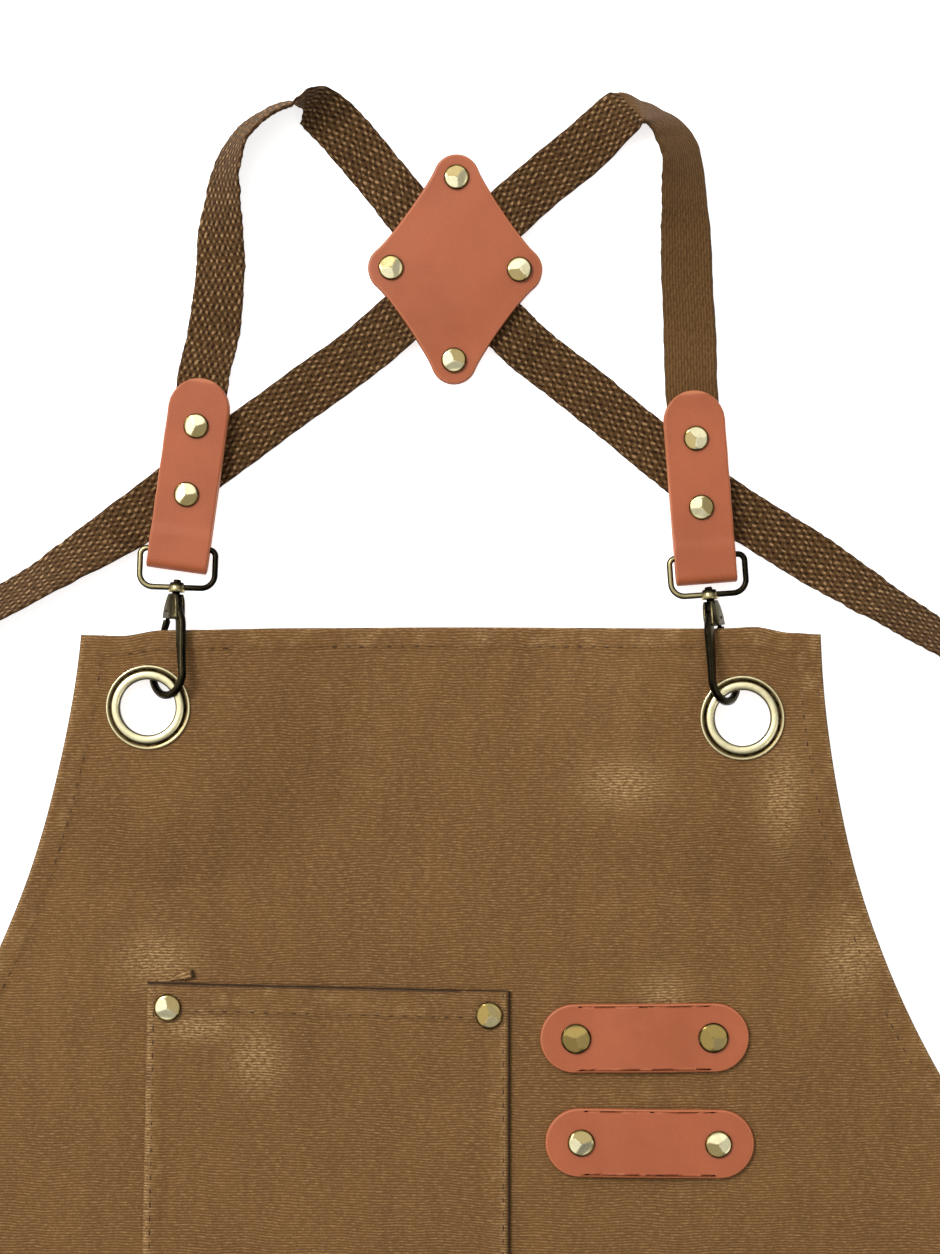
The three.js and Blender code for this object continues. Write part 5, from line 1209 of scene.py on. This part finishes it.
# %% Rings
def strap_ring():
    half = (RING_INSIDE + RING_WIRE) / 2
    low, high = RING_CORNER, RING_TOP_CORNER
    path = np.concatenate([
        np.column_stack([np.linspace(low - half, half - low, 14)[:-1], np.zeros(13)]),
        arc(half - low, low, low, -math.pi / 2, 0, 12), arc(half - high, RING_HEIGHT - high, high, 0, math.pi / 2, 10),
        np.column_stack([np.linspace(half - high, high - half, 14)[1:-1], np.full(12, RING_HEIGHT)]),
        arc(high - half, RING_HEIGHT - high, high, math.pi / 2, math.pi, 10),
        arc(low - half, low, low, math.pi, 1.5 * math.pi, 12)[:-1]])
    way = np.roll(path, -1, 0) - np.roll(path, 1, 0)
    out = np.column_stack([way[:, 1], -way[:, 0]]) / np.linalg.norm(way, axis=1)[:, None]
    angle = np.linspace(0, 2 * math.pi, 18, endpoint=False)
    plan = path[:, None] + out[:, None] * (RING_WIRE / 2 * np.cos(angle))[None, :, None]
    rise = np.broadcast_to(RING_WIRE / 2 * np.sin(angle), plan.shape[:2])
    wire = tube_skin(np.concatenate([plan, rise[..., None]], -1), closed=True)
    # Painted highlight along the top of the wire and painted shade down its sides, darker still towards the right-hand
    # bar.
    shade_wire = 0.08 + 0.8 * np.clip(np.broadcast_to(np.sin(angle), plan.shape[:2]), 0, 1) ** 2
    shade_wire = (shade_wire * (1 - 0.75 * smooth((plan[..., 0] + 4) / 14))).ravel()
    top = COLLAR_LENGTH / 2
    # The third number of each row is its shade: a painted highlight round the collar's widest part, painted shade at
    # its ends.
    rows = [(1.9, -top, 0.1), (COLLAR_RADIUS - 0.6, -top, 0.4), (COLLAR_RADIUS - 0.15, 0.25 - top, 0.9),
            (COLLAR_RADIUS, 0.9 - top, 0.95), (COLLAR_RADIUS - 0.1, 0.2, 0.8), (COLLAR_RADIUS - 0.5, 0.75 * top, 0.3),
            (COLLAR_RADIUS - 0.8, top, 0.1), (1.9, top, 0.05)]
    collar = disc_rings([row[:2] for row in rows], 32)
    collar = np.stack([collar[..., 0], collar[..., 2], -collar[..., 1]], -1)
    shade = np.concatenate([shade_wire, np.repeat([row[2] for row in rows], 32), [0, 0]])
    return *joined(wire, tube_skin(collar)), shade


def rotation(axis, degrees):
    return np.array(Matrix.Rotation(math.radians(degrees), 3, axis))


fold_height = (tab_floor + tab_top + TAB_BULGE) / 2
for name, side in SIDES.items():
    points, face_sets, shade = strap_ring()
    tip = -math.degrees(math.asin((HOOK_RISE - fold_height) / RING_HEIGHT))
    points = points @ (rotation("Z", side["ring_lean"]) @ rotation("X", tip)).T
    points = points + [side["boss_x"], side["boss_y"], HOOK_RISE]
    ring = make_piece(f"ring_wire_{name}", points, face_sets, dark_bronze, None, {"shade": shade})
    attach(ring, "apron")
    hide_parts(f"hook_ring_{name}")

# %% [markdown]
# The snap hook is a casting with cut corners: a swivel post, a body, a spine and a curl, and a
# sprung lever that closes the curl. Every section is an eight-sided bar with its corners eased, and
# a smooth curve runs through the sections. The lever rides on its own body, because it opens.

# %% Hooks and levers
def bar(x, down, angle, thick, wide):
    """A cut-cornered section, thick in the plane of the loop and wide square to it."""
    a, b = thick / 2, wide / 2
    cut = 0.3 * min(thick, wide)
    corners = np.array([(a, cut - b), (a, b - cut), (a - cut, b), (cut - a, b),
                        (-a, b - cut), (-a, cut - b), (cut - a, -b), (a - cut, -b)])
    loop = []
    for before, here, after in zip(np.roll(corners, 1, 0), corners, np.roll(corners, -1, 0)):
        back, ahead = before - here, after - here
        ease = 0.16 * cut
        loop += [here + back / np.linalg.norm(back) * ease, here * 0.985, here + ahead / np.linalg.norm(ahead) * ease]
    loop = np.array(loop)
    return np.column_stack([x + loop[:, 0] * math.cos(angle), -down + loop[:, 0] * math.sin(angle), loop[:, 1]])


def through(sections, cuts):
    """A smooth skin through the sections."""
    rows = np.array(sections)
    padded = np.concatenate([rows[:1], rows, rows[-1:]])
    fine = []
    for before, here, after, beyond in zip(padded, padded[1:], padded[2:], padded[3:]):
        for t in np.arange(cuts) / cuts:
            fine.append(0.5 * (2 * here + (after - before) * t + (2 * before - 5 * here + 4 * after - beyond) * t ** 2
                               + (3 * here - before - 3 * after + beyond) * t ** 3))
    return tube_skin(np.array([*fine, rows[-1]]))


SPINE = [(0.18, -0.18, 4.4, 3.6), (0.36, 0.21, 4.6, 3.0), (0.50, 0.34, 4.4, 3.0), (0.65, 0.46, 4.1, 3.0), (0.83, 0.64, 3.5, 3.0)]
BODY = [(0, -0.48, 0.50, 0.88), (0.24, -0.65, 0.70, 1), (0.60, -0.85, 0.85, 1), (1, -0.93, 1, 0.92)]
LEVER = [(0.16, 0.23, 0.70, 1), (0.31, 0.37, 0.67, 1), (0.40, 0.47, 0.47, 0.87), (1, 1, 0.43, 0.80)]
body_start = COLLAR_LENGTH / 2 + SWIVEL_PLAY


def hook_body():
    spine = [bar(inner * HOOK_LOOP_RADIUS + thick / 2, down * HOOK_LOOP_AT, 0, thick, wide)
             for down, inner, thick, wide in SPINE]
    for angle in -math.pi * np.arange(14) / 13:
        spine.append(bar(HOOK_LOOP_RADIUS * math.cos(angle), HOOK_LOOP_AT - HOOK_LOOP_RADIUS * math.sin(angle),
                         angle, HOOK_WIRE, HOOK_WIRE))
    spine.append(bar(-HOOK_LOOP_RADIUS, HOOK_LOOP_AT - 1.5, -math.pi, HOOK_WIRE - 0.4, HOOK_WIRE - 0.3))
    cheek = HOOK_BODY_WIDE - LEVER_ROOT - 2 * GAP
    skins = [through(spine, 3)]
    for hand in (-1, 1):
        rows = []
        for down, low_share, high_share, wide in BODY:
            thickness = (wide * HOOK_BODY_WIDE - LEVER_ROOT - 2 * GAP) / 2
            section = bar((low_share + high_share) / 2 * HOOK_BODY_HALF, body_start + down * HOOK_BODY_LENGTH, 0,
                          (high_share - low_share) * HOOK_BODY_HALF, thickness)
            rows.append(section + [0, 0, hand * (LEVER_ROOT / 2 + GAP + thickness / 2)])
        skins.append(through(rows, 3))
    web = [bar(0.1, body_start + 0.2, 0, 3.6, 2.6), bar(0.4, body_start + 3.2, 0, 5.0, 2.6), bar(1.9, body_start + 6.5, 0, 3.0, 2.6),
           bar(2.4, body_start + HOOK_BODY_LENGTH - 0.3, 0, 3.2, 2.6)]
    skins.append(through(web, 2))
    post = disc_rings([(0.2, -3.1), (1.2, -3.0), (HOOK_POST_RADIUS, -2.7), (HOOK_POST_RADIUS, body_start),
                       (2.5, body_start), (2.5, body_start + 0.3), (2.1, body_start + 0.9), (0.4, body_start + 1.3)], 24)
    skins.append(tube_skin(np.stack([post[..., 0], -post[..., 2], post[..., 1]], -1)))
    pin = disc_rings([(PIVOT_PIN, -2.5), (PIVOT_PIN, 2.5)], 14)
    skins.append(tube_skin(pin + [-PIVOT_SIDE, -PIVOT_AT, 0]))
    return joined(*skins)


def hook_lever():
    finger = [bar(-PIVOT_SIDE - across * LEVER_ACROSS, PIVOT_AT + down * LEVER_LENGTH, 0, thick * HOOK_WIRE, wide * HOOK_WIRE)
              for down, across, thick, wide in LEVER]
    neck = [bar(-PIVOT_SIDE - across * LEVER_ACROSS, PIVOT_AT + down * LEVER_LENGTH, 0, LEVER_NECK, LEVER_ROOT)
            for down, across in ((0, 0.03), (0.19, 0.23))]
    root = disc_rings([(LEVER_ROOT_RADIUS - 0.15, -LEVER_ROOT / 2), (LEVER_ROOT_RADIUS, -LEVER_ROOT / 2 + 0.15),
                       (LEVER_ROOT_RADIUS, LEVER_ROOT / 2 - 0.15), (LEVER_ROOT_RADIUS - 0.15, LEVER_ROOT / 2)], 24)
    return joined(through(finger, 3), through(neck, 3), tube_skin(root + [-PIVOT_SIDE, -PIVOT_AT, 0]))


for name, side in SIDES.items():
    roll = -side["roll"] if name == "left" else side["roll"] + 180
    place = rotation("Z", side["lean"]) @ rotation("X", -side["pitch"]) @ rotation("Y", roll)
    for label, (points, face_sets), stands, body in (
            ("hook_casting", hook_body(), "hook_body", "apron"), ("hook_gate", hook_lever(), "hook_lever", f"lever_{name}")):
        # Painted highlight on the hook's two broad faces and painted shade along its edges.
        outer = smooth((np.abs(points[:, 2]) - 0.7) / 0.9)
        shade = 0.14 + 0.44 * outer
        points = points @ place.T + [side["boss_x"], side["boss_y"], HOOK_RISE]
        casting = make_piece(f"{label}_{name}", points, face_sets, dark_bronze, None, {"shade": shade})
        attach(casting, body)
        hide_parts(f"{stands}_{name}")

# %% [markdown]
# Stitches follow the hems. The lines are worked out on the cloth, and Geometry Nodes cut each line
# into even lengths and lay one short, arched stitch of thread along every length.

# %% Stitch tree
stitch_tree, given, result = new_group(
    "stitches_along_lines", "GeometryNodeTree",
    [("Geometry", "NodeSocketGeometry"), ("Stitch", "NodeSocketObject"), ("Pitch", FLOAT, 0.0052),
     ("Seed", "NodeSocketInt", 3), ("Finish", "NodeSocketMaterial")],
    [("Geometry", "NodeSocketGeometry")])
line = node(stitch_tree, "GeometryNodeMeshToCurve", {0: given.outputs["Geometry"]})
cut = node(stitch_tree, "GeometryNodeResampleCurve", {"Curve": line.outputs[0], "Length": given.outputs["Pitch"]},
           mode="LENGTH")
shape = node(stitch_tree, "GeometryNodeObjectInfo", {"Object": given.outputs["Stitch"]}).outputs["Geometry"]
tangent = node(stitch_tree, "GeometryNodeInputTangent").outputs[0]
aim = node(stitch_tree, "FunctionNodeAlignRotationToVector", {"Vector": tangent}, axis="X").outputs[0]
level = node(stitch_tree, "FunctionNodeAlignRotationToVector", {"Rotation": aim, "Vector": (0, 0, 1)},
             axis="Z", pivot_axis="X").outputs[0]
uneven = node(stitch_tree, "FunctionNodeRandomValue", {2: 0.82, 3: 1.1, "Seed": given.outputs["Seed"]},
              data_type="FLOAT").outputs[1]
copies = node(stitch_tree, "GeometryNodeInstanceOnPoints",
              {"Points": cut.outputs[0], "Instance": shape, "Rotation": level, "Scale": uneven})
real = node(stitch_tree, "GeometryNodeRealizeInstances", {0: copies.outputs[0]})
dressed = node(stitch_tree, "GeometryNodeSetMaterial",
               {"Geometry": real.outputs[0], "Material": given.outputs["Finish"]})
stitch_tree.links.new(dressed.outputs[0], result.inputs["Geometry"])

# %% Stitches
rings = []
for t in np.linspace(-1, 1, 7):
    radius = 0.24 * math.sqrt(max(1 - t ** 4, 0.1))
    angle = np.linspace(0, 2 * math.pi, 6, endpoint=False)
    rings.append(np.column_stack([np.full(6, 1.35 * t), radius * np.cos(angle), radius * np.sin(angle) - 0.22 * t ** 2]))
points, face_sets = tube_skin(np.array(rings))
one_stitch = make_piece("stitch_pattern", points - shift, face_sets, thread)


def seam_line(downs, outs):
    """Points on the face of the panel along a hem."""
    halves = half_width(downs)
    x, y = panel_place(downs, outs * halves if np.ndim(outs) == 0 else outs, halves)
    free = calm(x, y)
    wavy = 0.55 * (0.5 + 0.5 * ripple(x, y, 46, 1)) + 0.22 * (0.5 + 0.5 * ripple(x, y, 17, 2))
    return np.stack([x, y, cloth_height(x, y) + free * wavy + CLOTH + HEM_EXTRA * 0.6], -1)


lines = []
top_down = TOP_HEM * 0.97
half = float(half_width(np.array(top_down)))
lines.append(seam_line(np.full(150, top_down), np.linspace(-half + SIDE_HEM, half - SIDE_HEM, 150)))
deep = np.linspace(1.0, APRON_LENGTH - BOTTOM_HEM * 0.97, 260)
for hand in (-1, 1):
    lines.append(seam_line(deep, hand * (half_width(deep) - SIDE_HEM * 0.97)))
foot = APRON_LENGTH - BOTTOM_HEM * 0.97
half = float(half_width(np.array(foot)))
lines.append(seam_line(np.full(150, foot), np.linspace(-half + SIDE_HEM, half - SIDE_HEM, 150)))


def pocket_line(along, down):
    x, y = pocket_point(along, down)
    mouth = POCKET_MOUTH * np.sin(math.pi * along / POCKET_WIDTH) ** 2 * smooth(1 - 2 * down / POCKET_HEIGHT)
    z = cloth_height(x, y) + 2 * CLOTH + GAP + 0.15 + mouth + 0.5
    return np.stack([x, y, z], -1)


span = np.linspace(0, 1, 80)
lines.append(pocket_line(3 + span * (POCKET_WIDTH - 6), np.full(80, POCKET_HEM - 0.9)))
for at in (2.6, POCKET_WIDTH - 2.6):
    lines.append(pocket_line(np.full(80, at), 2 + span * (POCKET_HEIGHT - 4.6)))
lines.append(pocket_line(2.6 + span * (POCKET_WIDTH - 5.2), np.full(80, POCKET_HEIGHT - 2.6)))
base = bpy.data.meshes.new("stitches")
counts = np.cumsum([0] + [len(line) for line in lines])
edges = [(i, i + 1) for first, last in zip(counts, counts[1:]) for i in range(first, last - 1)]
base.from_pydata(((np.concatenate(lines) + shift) * 0.001).tolist(), edges, [])
stitches = bpy.data.objects.new("stitches", base)
scene.collection.objects.link(stitches)
grow(stitches, stitch_tree, Stitch=one_stitch, Finish=thread)
bpy.data.objects.remove(one_stitch)
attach(stitches, "apron")
